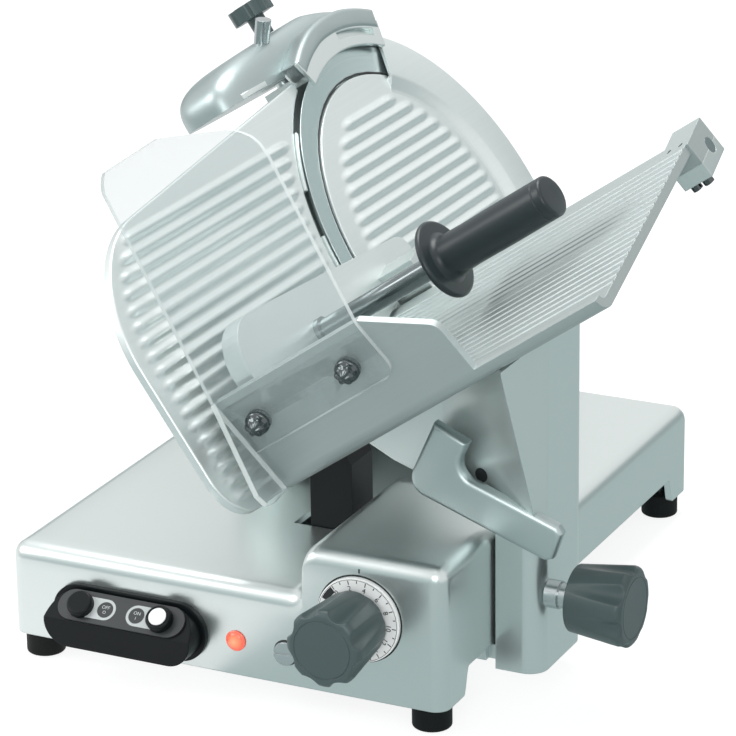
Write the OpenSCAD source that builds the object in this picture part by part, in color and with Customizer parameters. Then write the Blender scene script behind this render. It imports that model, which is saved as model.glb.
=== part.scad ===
// Gravity-feed food slicer: cast base, inclined round blade, sliding product
// tray with pusher, thickness gauge plate and a sharpener on top of the blade.
// Millimetres, +Z up, operator in front at -Y, carriage on the right at +X.
// The origin is under the middle of the whole machine, on the table.

/* [Base] */
// Width of the base casting, left to right
base_w = 340; // [320:1:380]
// Depth of the base casting, front to back
base_d = 454; // [430:1:500]
// Height of the low part of the casting
slab_h = 69; // [66:1:80]
// Wall of the castings
wall = 5; // [4:0.5:6]
// Rounding of the casting's outer edges
edge_r = 11; // [8:1:14]
// Width of the raised control housing on the right
housing_w = 107; // [104:1:116]
// Length of the raised control housing, front to back
housing_len = 170; // [168:1:200]
// Rise of the control housing over the low part
housing_rise = 36; // [34:1:44]
// Height of the rubber feet
foot_h = 18; // [16:1:24]
// Diameter of the rubber feet
foot_d = 28; // [24:1:30]
// Distance of the feet from the casting's sides
foot_inset = 17; // [16:1:24]
// Height of the slot in the right wall for the carriage
slot_h = 20; // [18:1:24]
// Length of the solid legs at both ends of that slot
slot_leg = 33; // [26:1:40]

/* [Blade] */
// Diameter of the blade
blade_d = 300; // [280:5:310]
// Lean of the blade from the vertical, to the left
blade_tilt = 35; // [33:0.5:37]
// Blade centre, from the left side of the base
blade_x = 159; // [150:1:170]
// Blade centre, from the front of the base
blade_y = 382; // [370:1:400]
// Blade centre, above the table
blade_z = 234; // [230:1:250]
// Width of the bare steel ring around the blade cover
blade_ring = 22; // [18:1:26]
// Overlap of the edge guard over the blade's rim
guard_over = 10; // [8:1:14]
// Thickness of the edge guard
guard_t = 2.6; // [2:0.2:3]

/* [Gauge plate] */
// Front edge of the gauge plate, ahead of the blade centre
gauge_front = 431; // [415:1:440]
// Lower edge of the gauge plate, below the blade centre
gauge_low = 95; // [85:1:100]
// Height of the gauge plate's top edge at its front corner
gauge_top = 120; // [110:1:124]
// Fall of the top edge towards the operator, in degrees
gauge_fall = 5.4; // [4:0.2:6]
// Radius of the upper front corner
gauge_corner = 95; // [70:5:100]
// Thickness of the gauge plate
gauge_t = 6; // [5:0.5:7]
// Slice thickness that the drawn position is set to
slice_now = 3; // [3:0.5:4]
// Largest slice thickness
slice_max = 15; // [12:0.5:15]
// Distance between ridges on the gauge plate and the blade cover
ridge_pitch = 11; // [10:0.5:13]
// Radius of a ridge
ridge_r = 5; // [4:0.25:5]
// Height of a ridge over its plate
ridge_h = 2; // [1.5:0.25:2]

/* [Tray] */
// Length of the tray, away from the blade
tray_len = 283; // [270:1:300]
// Depth of the tray floor, front to back
tray_depth = 218; // [210:1:224]
// Height of the tray's front wall
tray_wall_h = 82; // [76:1:90]
// Length of the tray's front wall
tray_wall_len = 178; // [170:1:190]
// Turn of the tray about the feed direction, floor rising to the back
tray_lean = 15; // [13:0.5:17]
// Front lower corner of the tray, ahead of the blade centre
tray_front = 370; // [365:1:380]
// Front lower corner of the tray, below the blade centre
tray_drop = 98.6; // [95:0.2:102]
// Gap between the blade plane and the tray
tray_gap = 5; // [4.6:0.2:7]
// Thickness of the tray
tray_t = 7; // [6:0.5:8]
// Number of fine ridges on the tray floor
tray_ridges = 20; // [12:1:22]
// Diameter of the pusher's slide rod
slide_rod_d = 12; // [10:0.5:13]

/* [Hand guard] */
// Height of the clear panel over the tray wall
panel_h = 175; // [150:1:190]
// Width of the clear panel
panel_w = 132; // [120:1:136]
// Thickness of the clear panel
panel_t = 4; // [3:0.5:5]
// Lean of the panel over the tray, from the plane of the wall
panel_lean = 23; // [20:0.5:25]

/* [Pusher] */
// Diameter of the pusher's handle
handle_d = 30.6; // [28:0.2:34]
// Length of the pusher's handle
handle_len = 96; // [85:1:110]
// Diameter of the disc in front of the hand
disc_d = 58; // [50:1:62]
// Length of shaft between the plate and the disc
pusher_reach = 113; // [105:1:125]
// Diameter of the pusher's shaft
pusher_shaft_d = 16; // [13:0.5:17]

/* [Controls] */
// Diameter of the thickness knob
knob_d = 56; // [50:1:60]
// Length of the thickness knob
knob_len = 50; // [44:1:56]
// Diameter of the scale behind the knob
dial_d = 62; // [60:1:64]
// Knob axis, from the right side of the base
knob_in = 63; // [61:1:65]
// Knob axis, above the table
knob_z = 78; // [77:0.5:80]
// Length of the switch unit
switch_len = 122; // [110:1:130]
// Height of the switch unit
switch_h = 44; // [40:1:46]
// Middle of the switch unit, from the left side of the base
switch_x = 98; // [90:1:104]
// Diameter of the push buttons
button_d = 19; // [16:0.5:20]
// Diameter of the indicator lamp
lamp_d = 12.6; // [10:0.2:14]
// Diameter of the carriage lock knob
lock_d = 58; // [50:1:60]

/* [Fits] */
// Radial clearance of a shaft that turns or slides in its hole
run_gap = 0.05; // [0.03:0.01:0.08]
// Radial clearance of a piece that is fixed in its hole
fix_gap = 0.02; // [0.01:0.01:0.03]
// Gap between faces that slide past each other
slide_gap = 0.3; // [0.25:0.05:0.4]

/* [Hidden] */
$fn = 64;
eps = 0.01;
big = 900;

// Levels and sides of the base
slab_top = foot_h + slab_h;
housing_top = slab_top + housing_rise;
housing_x = base_w - housing_w;
inner_r = edge_r - wall + 1;
foot_x = [foot_inset, base_w - foot_inset];
foot_y = [foot_inset, base_d - foot_inset];
foot_boss_r = foot_d / 2 - 3;
foot_screw_r = 3;

// Blade, its cover and the guard around its rear edge
blade_r = blade_d / 2;
dish_r = blade_r - blade_ring;
cover_r = dish_r - 1.5;
guard_r = blade_r + guard_over;
guard_from = -95;
guard_to = 65.6;
guard_front = tray_gap - 1;
guard_under = guard_front - guard_t;
dish_z = -9;
blade_t = 3.5;
hub_z = dish_z - blade_t;

// Spindle, worm drive and the casting behind the blade
flange_r = 45;
flange_t = 6;
flange_z = hub_z - flange_t;
pilot_r = 20;
spindle_r = 10;
tie_r = 4;
plate_z = -16;
plate_t = 8;
guard_back = plate_z;
plate_back = plate_z - plate_t;
plate_r = blade_r;
case_r = 64;
case_wall = 7;
case_end = -108;
gear_cover_t = 14;
gear_cover_z = case_end - gear_cover_t;
bearing_r = 23.5;
bearing_w = 14;
front_wall_t = 18;
wheel_r = 48;
wheel_w = 20;
worm_z = -82;
worm_r = 12;
worm_gap = 0.4;
worm_y = -(wheel_r + worm_r + worm_gap);
worm_shaft_r = 8;
tunnel_r = 17;
tunnel_wall = 7;
motor_r = 42;
motor_len = 115;
motor_x = -(case_r + 6);
motor_cover_r = 47;
motor_cover_t = 3;
motor_room = 26;
drive_bore_end = 44;
tie_knob_r = 20;
tie_knob_len = 22;
screw_r = 2;
screw_head_r = 4;
screw_head_h = 2.5;
cover_screw_ring = (2 * case_r - case_wall) / 2;

// Thickness gauge
gauge_face = -slice_now;
gauge_back = gauge_face - gauge_t;
gauge_gap = 3.5;
knob_x = base_w - knob_in;
slice_turn = 200;
slice_travel = slice_max - slice_now;
cam_r = 36;
cam_t = 10;
cam_y = 130;
groove_depth = 6;
pin_r = 3.5;
groove_w = 2 * (pin_r + slide_gap);
cam_r0 = 16;
knob_shaft_r = 6;
arm_x0 = min(blade_x + 23, knob_x - cam_r - 59);
arm_w = 33;
arm_y0 = 116;
arm_d = 34;
arm_low = 36;
lever_t = 9;
lever_h = 16;
gauge_rod_r = 6;
gauge_rod_half = 43;
gauge_rod_at = [arm_x0 + arm_w / 2, arm_y0 + 12, 56];
rod_boss_r = 11;

// Tray, slide rod and pusher, in the tray's own directions
bend_r = 12;
slide_rod_r = slide_rod_d / 2;
rod_v = tray_depth + 12;
rod_w = -10;
lug_len = 18;
lug_v0 = tray_depth - 14;
lug_low = rod_w - slide_rod_r - 6;
lug_far = rod_v + slide_rod_r + 7;
clamp_l0 = tray_len - 9;
tray_slant = 3.7;
clamp_len = 24;
rod_l0 = 4;
rod_len = clamp_l0 + clamp_len - rod_l0;
sleeve_r = slide_rod_r + 3;
sleeve_l0 = rod_l0 + lug_len + slide_gap;
sleeve_len = 40;
sleeve_flange = 3;
arm_hub_r = sleeve_r + 5;
shaft_v = 122;
shaft_w = 50;
plate_l0 = 9;
plate_depth = 15;
plate_skin = 4;
plate_rim = 5;
disc_t = 5;
disc_l0 = plate_l0 + plate_depth + pusher_reach;

// Carriage under and beside the base
post_gap = 2;
post_w = 34;
post_x0 = base_w + post_gap;
post_y0 = 81;
post_d = 78;
post_low = 19;
post_r = 14;
rail_r = 8;
rail_x = base_w - 22;
rail_z = 44;
rail_boss_r = 13;
rail_boss_len = 15;
bush_t = 4;
bush_len = 20;
barrel_r = rail_r + bush_t + 3;
barrel_y0 = 85;
barrel_len = 70;
bracket_z0 = 22;
bracket_t = 11;
bar_x0 = base_w - 56;
bar_w = 8;
bar_z0 = 26;
bar_h = 8;
fork_t = 5;
lock_y = 95;
lock_z = 77;
lock_x = post_x0 + post_w;
collar_len = 20;
collar_r = 9;
lock_len = 44;
stud_r = 5;
stud_in = 22;

// Sharpener over the blade's top
sharp_gap = 3;
sharp_y = blade_r + sharp_gap;
dome_r = 32;
dome_t = 3.5;
dome_z = -40;
dome_x0 = -108;
dome_x1 = 46;
shelf_t = 4;
band_r = blade_r + 20;
band_lip = 2;
band_front = 8;
band_back = -8;
band_from = 66;
band_to = 113.4;
leg_r = 6;
leg_x = -20;
leg_len = 34;
star_x = -4;
star_r = 17;
star_h = 12;
star_stem_r = 7;
star_stem_h = 16;
button_lean = 41;
button_x = -54;
button_r = 6;
button_len = 36;

// Switch unit, with its key plate leaning back
switch_z = 44;
gasket_t = 4;
switch_out = 23;
switch_slope = 42;
key_plate_t = 1.5;
key_gap = 63;
key_out = 6;
key_stroke = 3;
plug_r = 8.5;
plug_x = knob_x - 57;
plug_z = 42;
lamp_x = 181;
lamp_z = 44;

// Outer corner of the tray, and the middle of the machine's outline
tray_low = tray_drop - bend_r * (sin(tray_lean) + cos(tray_lean) - 1);
tray_far_x = blade_x + tray_low * sin(blade_tilt) + (tray_gap + tray_len) * cos(blade_tilt);
lug_drop = tray_drop - lug_v0 * sin(tray_lean) - lug_low * cos(tray_lean);
lug_reach = tray_gap + clamp_l0 + clamp_len;
lug_far_x = blade_x + lug_drop * sin(blade_tilt) + lug_reach * cos(blade_tilt);
knob_front = gasket_t + 4 + knob_len;
star_end = sharp_y + shelf_t + dome_r + slide_gap + star_stem_h + star_h;
star_near_x = blade_x - star_end * sin(blade_tilt) + (dome_z - star_r) * cos(blade_tilt);
mid_x = (max(tray_far_x, lug_far_x) + min(0, star_near_x)) / 2;
mid_y = (blade_y + guard_r - knob_front) / 2;

// Colours
satin = [0.78, 0.81, 0.80];
cast_dark = [0.12, 0.13, 0.13];
steel = [0.70, 0.73, 0.74];
chrome = [0.82, 0.84, 0.85];
grey_plastic = [0.30, 0.36, 0.37];
black_plastic = [0.07, 0.08, 0.08];

// Places the drawing, which starts at the base's front left corner, over the origin
module part(c) color(c) translate([-mid_x, -mid_y, 0]) children();

// Blade frame: x to the back, y up the blade, z towards the carriage
module at_blade() translate([blade_x, blade_y, blade_z]) rotate([0, 90 - blade_tilt, 0]) rotate(90) children();

// Tray frame: x over the floor to the back, y off the floor, z away from the blade
module at_tray() at_blade() translate([-tray_front, -tray_drop, tray_gap]) rotate(tray_lean) children();

// Frame of the switch's key plate: x to the right, y up the plate, z out of it
module at_keys() translate([switch_x, -switch_out, switch_z + 2]) rotate([switch_slope, 0, 0]) children();

// Cylinders along X, Y and Z
module rod_x(r, l) rotate([0, 90, 0]) cylinder(r = r, h = l);
module rod_y(r, l) rotate([-90, 0, 0]) cylinder(r = r, h = l);
module rod_z(r, l) cylinder(r = r, h = l);

// Rectangle with round corners, from the origin
module round_rect(w, d, r) {
    translate([r, 0]) square([w - 2 * r, d]);
    translate([0, r]) square([w, d - 2 * r]);
    for (x = [r, w - r], y = [r, d - r]) translate([x, y]) circle(r);
}

// Rectangle with its two upper corners round, from the origin
module round_top(w, h, r) {
    square([w, h - r]);
    translate([r, 0]) square([w - 2 * r, h]);
    for (x = [r, w - r]) translate([x, h - r]) circle(r);
}

// Bar with round ends between two points
module slot(a, b, r) {
    d = b - a;
    l = norm(d);
    translate(a) rotate(atan2(d[1], d[0])) translate([0, -r]) square([l, 2 * r]);
    translate(a) circle(r);
    translate(b) circle(r);
}

// Block whose upright and upper edges are rounded
module soft_block(w, d, h, r) {
    intersection() {
        linear_extrude(h) round_rect(w, d, r);
        translate([0, d, 0]) rotate([90, 0, 0]) linear_extrude(d) round_top(w, h, r);
        rotate([90, 0, 90]) linear_extrude(w) round_top(d, h, r);
    }
}

// Sector between two radii and two angles
module sector(r0, r1, a0, a1) {
    far = r1 * 2;
    step = (a1 - a0) / 4;
    difference() {
        intersection() {
            circle(r1, $fn = 128);
            polygon(concat([[0, 0]], [for (i = [0:4]) far * [cos(a0 + i * step), sin(a0 + i * step)]]));
        }
        circle(r0, $fn = 128);
    }
}

// Fluted prism: a disc with hollows around its edge
module fluted(r, count, hollow) {
    difference() {
        circle(r);
        for (i = [0:count - 1]) rotate((i + 0.5) * 360 / count) translate([r + hollow * 0.55, 0]) circle(hollow);
    }
}

// Points of an arc
function arc(c, r, a0, a1, steps) = [for (i = [0:steps]) let (a = a0 + (a1 - a0) * i / steps)
    c + r * [cos(a), sin(a)]];

// Row of ridges with ball ends along x, inside the limits that lo(y) and hi(y) give
module ridge(x0, x1, y, face) {
    z = face - ridge_r + ridge_h;
    translate([x0 + ridge_r, y, z]) rod_x(ridge_r, x1 - x0 - 2 * ridge_r);
    for (x = [x0 + ridge_r, x1 - ridge_r]) translate([x, y, z]) sphere(ridge_r);
}

// Base casting

module base_outer() translate([0, 0, foot_h]) {
    soft_block(base_w, base_d, slab_h, edge_r);
    translate([housing_x, 0, 0]) soft_block(housing_w, housing_len, slab_h + housing_rise, edge_r);
    fillet = edge_r;
    difference() {
        translate([housing_x - fillet, edge_r, slab_h - fillet])
            cube([fillet + wall, housing_len - 2 * edge_r, 2 * fillet]);
        translate([housing_x - fillet, 0, slab_h + fillet]) rod_y(fillet, housing_len);
    }
}

module base_hollow() translate([wall, wall, foot_h - eps]) {
    soft_block(base_w - 2 * wall, base_d - 2 * wall, slab_h - wall, inner_r);
    translate([housing_x, 0, 0])
        soft_block(housing_w - 2 * wall, housing_len - 2 * wall, slab_h + housing_rise - wall, inner_r);
}

plate_boss_x = [foot_inset + 34, arm_x0 - 46];
plate_boss_y = [foot_inset + 24, base_d - foot_inset - 24];
plate_z0 = foot_h + 2;
plate_sheet = 2;
shaft_rib_y = cam_y + cam_t + 2 + lever_t + slide_gap;

module base_bosses() {
    for (x = foot_x, y = foot_y) translate([x, y, foot_h]) rod_z(foot_boss_r, slab_h - wall / 2);
    for (x = plate_boss_x, y = plate_boss_y) translate([x, y, plate_z0 + plate_sheet])
        rod_z(6, slab_top - wall / 2 - plate_z0 - plate_sheet);
    // seats of the carriage rod
    for (y = [wall / 2, base_d - wall - rail_boss_len]) translate([rail_x, y, rail_z])
        rod_y(rail_boss_r, rail_boss_len + wall / 2);
    // front bearing and rear rib of the knob shaft
    translate([knob_x, wall / 2, knob_z]) rod_y(knob_shaft_r + 6, 14);
    translate([knob_x - 14, shaft_rib_y, knob_z - 14]) cube([28, 8, housing_top - wall / 2 - knob_z + 14]);
    // seats of the gauge rod, the lower one on a web from the ceiling
    difference() {
        translate(gauge_rod_at) rotate([0, 90 - blade_tilt, 0]) {
            translate([0, 0, 33]) rod_z(rod_boss_r, gauge_rod_half - 33);
            translate([0, 0, -gauge_rod_half - 9]) rod_z(rod_boss_r, 14);
        }
        translate([0, 0, plate_z0 + plate_sheet - big]) cube([base_w, base_d, big]);
    }
    translate([gauge_rod_at[0] - 48, gauge_rod_at[1] - 5, gauge_rod_at[2] - 26])
        cube([13, 10, slab_top - wall / 2 - gauge_rod_at[2] + 26]);
}

module base_casting() part(satin) difference() {
    union() {
        difference() {
            base_outer();
            base_hollow();
        }
        intersection() {
            base_bosses();
            base_outer();
        }
    }
    // slot for the carriage in the right wall
    translate([base_w - wall - 1, slot_leg, foot_h - 1]) cube([wall + 2, base_d - 2 * slot_leg, slot_h + 1]);
    for (x = foot_x, y = foot_y) translate([x, y, foot_h - 1])
        rod_z(foot_screw_r + fix_gap, foot_screw_top - foot_h + 2);
    for (x = plate_boss_x, y = plate_boss_y) translate([x, y, foot_h]) rod_z(screw_r + fix_gap, slab_h / 2);
    translate([rail_x, wall, rail_z]) rod_y(rail_r + fix_gap, base_d - 2 * wall);
    translate([knob_x, -1, knob_z]) rod_y(knob_shaft_r + run_gap, shaft_rib_y + 20);
    translate(gauge_rod_at) rotate([0, 90 - blade_tilt, 0]) translate([0, 0, -gauge_rod_half])
        rod_z(gauge_rod_r + fix_gap, 2 * gauge_rod_half);
    // way through the top for the gauge arm and its travel
    translate([arm_x0 - slice_travel - 1, arm_y0 - 1, slab_top - wall - 2])
        cube([arm_w + slice_max + 2, arm_d + 2, wall + 4]);
    // lead hole behind the switch, lamp and plug holes
    translate([switch_x, -1, switch_z]) rod_y(8, wall + 2);
    translate([lamp_x, -1, lamp_z]) rod_y(lamp_d / 2 + fix_gap, wall + 2);
    translate([plug_x, -1, plug_z]) rod_y(plug_r - 3 + fix_gap, wall + 2);
    // bolt holes under the blade housing
    for (p = housing_bolts) translate([p[0], p[1], slab_top - wall - 2]) rod_z(foot_screw_r + fix_gap, wall + 4);
}

module base_plate() part([0.55, 0.57, 0.57]) difference() {
    translate([wall + 2, wall + 2, plate_z0]) cube([arm_x0 + arm_w - wall, base_d - 2 * wall - 4, plate_sheet]);
    for (y = [0, base_d - foot_inset - foot_boss_r - 1]) translate([0, y, plate_z0 - 1])
        cube([foot_inset + foot_boss_r + 1, foot_inset + foot_boss_r + 1, plate_sheet + 2]);
    for (x = plate_boss_x, y = plate_boss_y) translate([x, y, plate_z0 - 1]) rod_z(screw_r + fix_gap, plate_sheet + 2);
}

// Pan-head screw with its head's seat at the origin and its shank along +z
module pan_screw(l) {
    rod_z(screw_r, l);
    translate([0, 0, -screw_head_h]) rod_z(screw_head_r, screw_head_h);
}

module panel_screws() part(steel) {
    for (x = plate_boss_x, y = plate_boss_y) translate([x, y, plate_z0]) pan_screw(16);
    at_blade() for (a = [45:90:315]) rotate(a) translate([cover_screw_ring, 0, gear_cover_z]) pan_screw(24);
}

module rubber_feet() part(black_plastic) for (x = foot_x, y = foot_y) translate([x, y, 0]) difference() {
    rotate_extrude() difference() {
        translate([0, 0]) square([foot_d / 2, foot_h]);
        translate([foot_d / 2 - 2, -eps]) difference() {
            square([2 + eps, 2]);
            translate([0, 2 + eps]) circle(2);
        }
    }
    translate([0, 0, -1]) rod_z(foot_screw_r + fix_gap, foot_h + 2);
    translate([0, 0, -1]) rod_z(7, foot_h / 2);
}

// foot screws end under the carriage rod
foot_screw_top = rail_z - rail_r - 3;
module foot_screws() part(steel) for (x = foot_x, y = foot_y) translate([x, y, foot_h / 2 - 4]) {
    rod_z(5.5, 3);
    rod_z(foot_screw_r, foot_screw_top - foot_h / 2 + 4);
}

// Switch unit, lamp and plug on the front

module stadium(l, h) slot([-(l - h) / 2, 0], [(l - h) / 2, 0], h / 2);

module switch_gasket() part(black_plastic) difference() {
    translate([switch_x, 0, switch_z]) rotate([90, 0, 0]) linear_extrude(gasket_t) stadium(switch_len, switch_h);
    translate([switch_x, -gasket_t - 1, switch_z]) rod_y(8, gasket_t + 2);
    for (s = [-1, 1]) at_keys() translate([s * key_gap / 2, key_mid, -key_well - 1])
        rod_z(button_d / 2 + 1, key_well + 3);
}

module switch_body() part(black_plastic) difference() {
    translate([switch_x, -gasket_t, switch_z]) rotate([90, 0, 0])
        linear_extrude(switch_out - gasket_t) stadium(switch_len - 6, switch_h - 8);
    at_keys() translate([-switch_len, -big / 4, 0]) cube([2 * switch_len, big / 2, big / 4]);
    for (s = [-1, 1]) at_keys() translate([s * key_gap / 2, key_mid, -key_well])
        rod_z(button_d / 2 + run_gap, key_well + 2);
}

// depth of the buttons' wells below the sloping face
key_well = key_stroke + slide_gap + 5;
key_mid = (switch_out - gasket_t) / cos(switch_slope) / 2;
key_plate_h = (switch_out - gasket_t) / cos(switch_slope) - 2;

module switch_plate() part([0.26, 0.29, 0.30]) at_keys() translate([0, key_mid, 0]) difference() {
    linear_extrude(key_plate_t) stadium(switch_len - 22, key_plate_h);
    for (s = [-1, 1]) translate([s * key_gap / 2, 0, -1]) rod_z(button_d / 2 + run_gap, key_plate_t + 2);
}

// Push button that stands on its spring seat, key_stroke above the well's floor
module button_body(h) {
    rotate_extrude() {
        square([button_d / 2, h - 1.5]);
        square([button_d / 2 - 1.5, h]);
        translate([button_d / 2 - 1.5, h - 1.5]) circle(1.5);
    }
}

key_low = key_stroke + slide_gap - key_well;
module off_button() part(black_plastic) at_keys() translate([-key_gap / 2, key_mid, key_low])
    button_body(key_plate_t + key_out - key_low);
module on_button() part(black_plastic) at_keys() translate([key_gap / 2, key_mid, key_low]) difference() {
    button_body(key_plate_t + key_out - key_low);
    translate([0, 0, key_plate_t + key_out - key_low - 1]) rod_z(button_d / 2 - 3 + fix_gap, 2);
}
module on_cap() part("white") at_keys() translate([key_gap / 2, key_mid, key_plate_t + key_out - 1])
    rod_z(button_d / 2 - 3, 1.6);

module indicator_lamp() part([0.95, 0.35, 0.2]) translate([lamp_x, 0, lamp_z]) rotate([90, 0, 0]) {
    translate([0, 0, -wall - 3]) rod_z(lamp_d / 2, wall + 3);
    rotate_extrude() intersection() {
        translate([0, 2.5 - lamp_d]) circle(lamp_d);
        square([lamp_d / 2 + 0.8, lamp_d]);
    }
}

module adjuster_plug() part(steel) translate([plug_x, 0, plug_z]) rotate([90, 0, 0]) {
    translate([0, 0, -wall - 2]) rod_z(plug_r - 3, wall + 2);
    difference() {
        rod_z(plug_r, 3);
        translate([-plug_r - 1, -0.8, 2]) cube([2 * plug_r + 2, 1.6, 2]);
    }
}

// Guides inside the base

module carriage_rod() part(chrome) translate([rail_x, wall, rail_z]) rod_y(rail_r, base_d - 2 * wall);
module guide_bar() part(steel) translate([bar_x0, wall, bar_z0]) cube([bar_w, base_d - 2 * wall, bar_h]);
module gauge_rod() part(chrome) translate(gauge_rod_at) rotate([0, 90 - blade_tilt, 0])
    translate([0, 0, -gauge_rod_half]) rod_z(gauge_rod_r, 2 * gauge_rod_half);

// Casting behind the blade, with the worm drive and the motor

column_y0 = blade_y - 60;
column_d = 120;
column_top = blade_z - 64;
housing_bolts = [for (x = [blade_x - 50, blade_x + 50], y = [column_y0 + 18, column_y0 + column_d - 18]) [x, y]];

module housing_solid() {
    at_blade() {
        translate([0, 0, plate_back]) linear_extrude(plate_t) {
            circle(plate_r, $fn = 128);
            intersection() {
                circle(guard_r, $fn = 128);
                polygon([[0, 0], big * [cos(guard_from), sin(guard_from)], [big, -big / 4], [big, big / 4],
                    big * [cos(guard_to), sin(guard_to)]]);
            }
        }
        translate([0, 0, case_end]) rod_z(case_r, plate_back - case_end + 1);
        translate([motor_x, worm_y, worm_z]) rod_x(tunnel_r + tunnel_wall, drive_bore_end + tunnel_wall - motor_x);
        translate([motor_x, worm_y, worm_z]) rod_x(motor_cover_r, 8);
        // boss of the sharpener's leg
        translate([leg_x - leg_r - 8, sharp_y - leg_len - 5, dome_z - leg_r - 6])
            cube([2 * leg_r + 16, leg_len + 1, plate_back - dome_z + leg_r + 7]);
    }
    translate([0, column_y0 + column_d, 0]) rotate([90, 0, 0]) linear_extrude(column_d) polygon([
        [blade_x - 67, slab_top], [blade_x + 73, slab_top],
        [blade_x + 13, column_top], [blade_x - 50, column_top]]);
}

module blade_housing() part(satin) difference() {
    housing_solid();
    at_blade() {
        translate([0, 0, plate_back]) rod_z(flange_r + 3, plate_t + 1);
        translate([0, 0, case_end - 1]) rod_z(case_r - case_wall, plate_back - front_wall_t - case_end + 1);
        // room for the lid behind the case
        translate([0, 0, gear_cover_z - 60]) rod_z(case_r + 1, 60 + gear_cover_t);
        translate([0, 0, case_end]) rod_z(bearing_r - 4, -case_end);
        translate([0, 0, plate_back - bearing_w]) rod_z(bearing_r + fix_gap, bearing_w + 1);
        translate([motor_x - 1, worm_y, worm_z]) rod_x(tunnel_r, drive_bore_end - motor_x + 1);
        translate([leg_x, sharp_y - leg_len - 6, dome_z]) rod_y(leg_r + run_gap, leg_len + 6);
        for (a = [45:90:315]) rotate(a) translate([cover_screw_ring, 0, case_end - 1]) rod_z(screw_r + fix_gap, 12);
    }
    for (p = housing_bolts) translate([p[0], p[1], slab_top - 1]) rod_z(foot_screw_r + fix_gap, 20);
}

module gear_cover() part(satin) at_blade() difference() {
    translate([0, 0, gear_cover_z]) rod_z(case_r, gear_cover_t);
    translate([0, 0, case_end - bearing_w + 2]) rod_z(bearing_r + fix_gap, bearing_w);
    translate([0, 0, gear_cover_z - 1]) rod_z(tie_r + run_gap, 5);
    for (a = [45:90:315]) rotate(a) translate([cover_screw_ring, 0, gear_cover_z - 1])
        rod_z(screw_r + fix_gap, gear_cover_t + 2);
}

module motor() part([0.25, 0.28, 0.33]) at_blade() translate([motor_x - motor_len, worm_y, worm_z]) difference() {
    union() {
        rod_x(motor_r, motor_len);
        for (i = [0:5]) translate([12 + i * 17, 0, 0]) rod_x(motor_r + 1.2, 6);
    }
    translate([-1, 0, 0]) rod_x(worm_shaft_r + run_gap, motor_len + 2);
}

module motor_cover() part(satin) at_blade()
    translate([motor_x - motor_len - motor_room - motor_cover_t, worm_y, worm_z]) difference() {
        union() {
            translate([motor_cover_r / 2, 0, 0]) rod_x(motor_cover_r, motor_len + motor_room + motor_cover_t - motor_cover_r / 2);
            intersection() {
                translate([motor_cover_r * 1.25, 0, 0]) sphere(motor_cover_r * 1.25);
                rod_x(motor_cover_r, motor_cover_r / 2 + 1);
            }
        }
        translate([motor_cover_r / 2, 0, 0]) rod_x(motor_cover_r - motor_cover_t, motor_len + motor_room + motor_cover_r);
    }

module bearing(z) translate([0, 0, z]) difference() {
    rod_z(bearing_r, bearing_w);
    translate([0, 0, -1]) rod_z(spindle_r + run_gap, bearing_w + 2);
    for (f = [-1, bearing_w - 1.5]) translate([0, 0, f]) difference() {
        rod_z(bearing_r - 4, 2.5);
        rod_z(spindle_r + 3.5, 2.5);
    }
}

module spindle_bearings() part(steel) at_blade() {
    bearing(plate_back - bearing_w);
    bearing(case_end - bearing_w + 2);
}

// Blade and what turns with it

module blade() part(steel) at_blade() difference() {
    rotate_extrude($fn = 160) polygon([
        [pilot_r, dish_z], [dish_r, dish_z], [dish_r, -2.4], [blade_r, 0], [blade_r, -0.5],
        [blade_r - 4, -5.4], [dish_r + 3, -5.4], [dish_r + 3, hub_z], [pilot_r, hub_z]]);
    for (a = [0:90:270]) rotate(a) translate([flange_r - 11, 0, hub_z - 1]) rod_z(screw_r + 0.5 + fix_gap, blade_t + 2);
}

module spindle() part(steel) at_blade() difference() {
    union() {
        translate([0, 0, flange_z]) rod_z(flange_r, flange_t);
        translate([0, 0, hub_z]) rod_z(pilot_r - run_gap, blade_t - 0.5);
        translate([0, 0, case_end - bearing_w + 3]) rod_z(spindle_r, flange_z - case_end + bearing_w - 3);
    }
    translate([0, 0, gear_cover_z]) rod_z(tie_r + 1, -gear_cover_z);
    for (a = [0:90:270]) rotate(a) translate([flange_r - 11, 0, flange_z - 1])
        rod_z(screw_r + 0.5 + fix_gap, flange_t + 2);
}

module blade_screws() part(chrome) at_blade() for (a = [0:90:270]) rotate(a) translate([flange_r - 11, 0, 0]) {
    translate([0, 0, flange_z + 1]) rod_z(screw_r + 0.5, dish_z - flange_z - 1);
    translate([0, 0, dish_z]) rod_z(screw_r + 3, 2.4);
}

module worm_wheel() part([0.72, 0.58, 0.3]) at_blade() translate([0, 0, worm_z - wheel_w / 2]) difference() {
    rod_z(wheel_r, wheel_w);
    translate([0, 0, -1]) rod_z(spindle_r + fix_gap, wheel_w + 2);
    for (f = [-1, wheel_w - 4]) translate([0, 0, f]) difference() {
        rod_z(wheel_r - 8, 5);
        rod_z(spindle_r + 10, 5);
    }
}

module worm_shaft() part(steel) at_blade() translate([0, worm_y, worm_z]) {
    translate([motor_x - motor_len - 4, 0, 0]) rod_x(worm_shaft_r, drive_bore_end - 6 - motor_x + motor_len + 4);
    translate([-32, 0, 0]) rod_x(worm_r, 64);
}

// Ridged cover over the blade, with the guard around the rear edge

cover_face = -0.8;
cover_back = -5;
cover_ridge_r = cover_r - 18;

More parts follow.
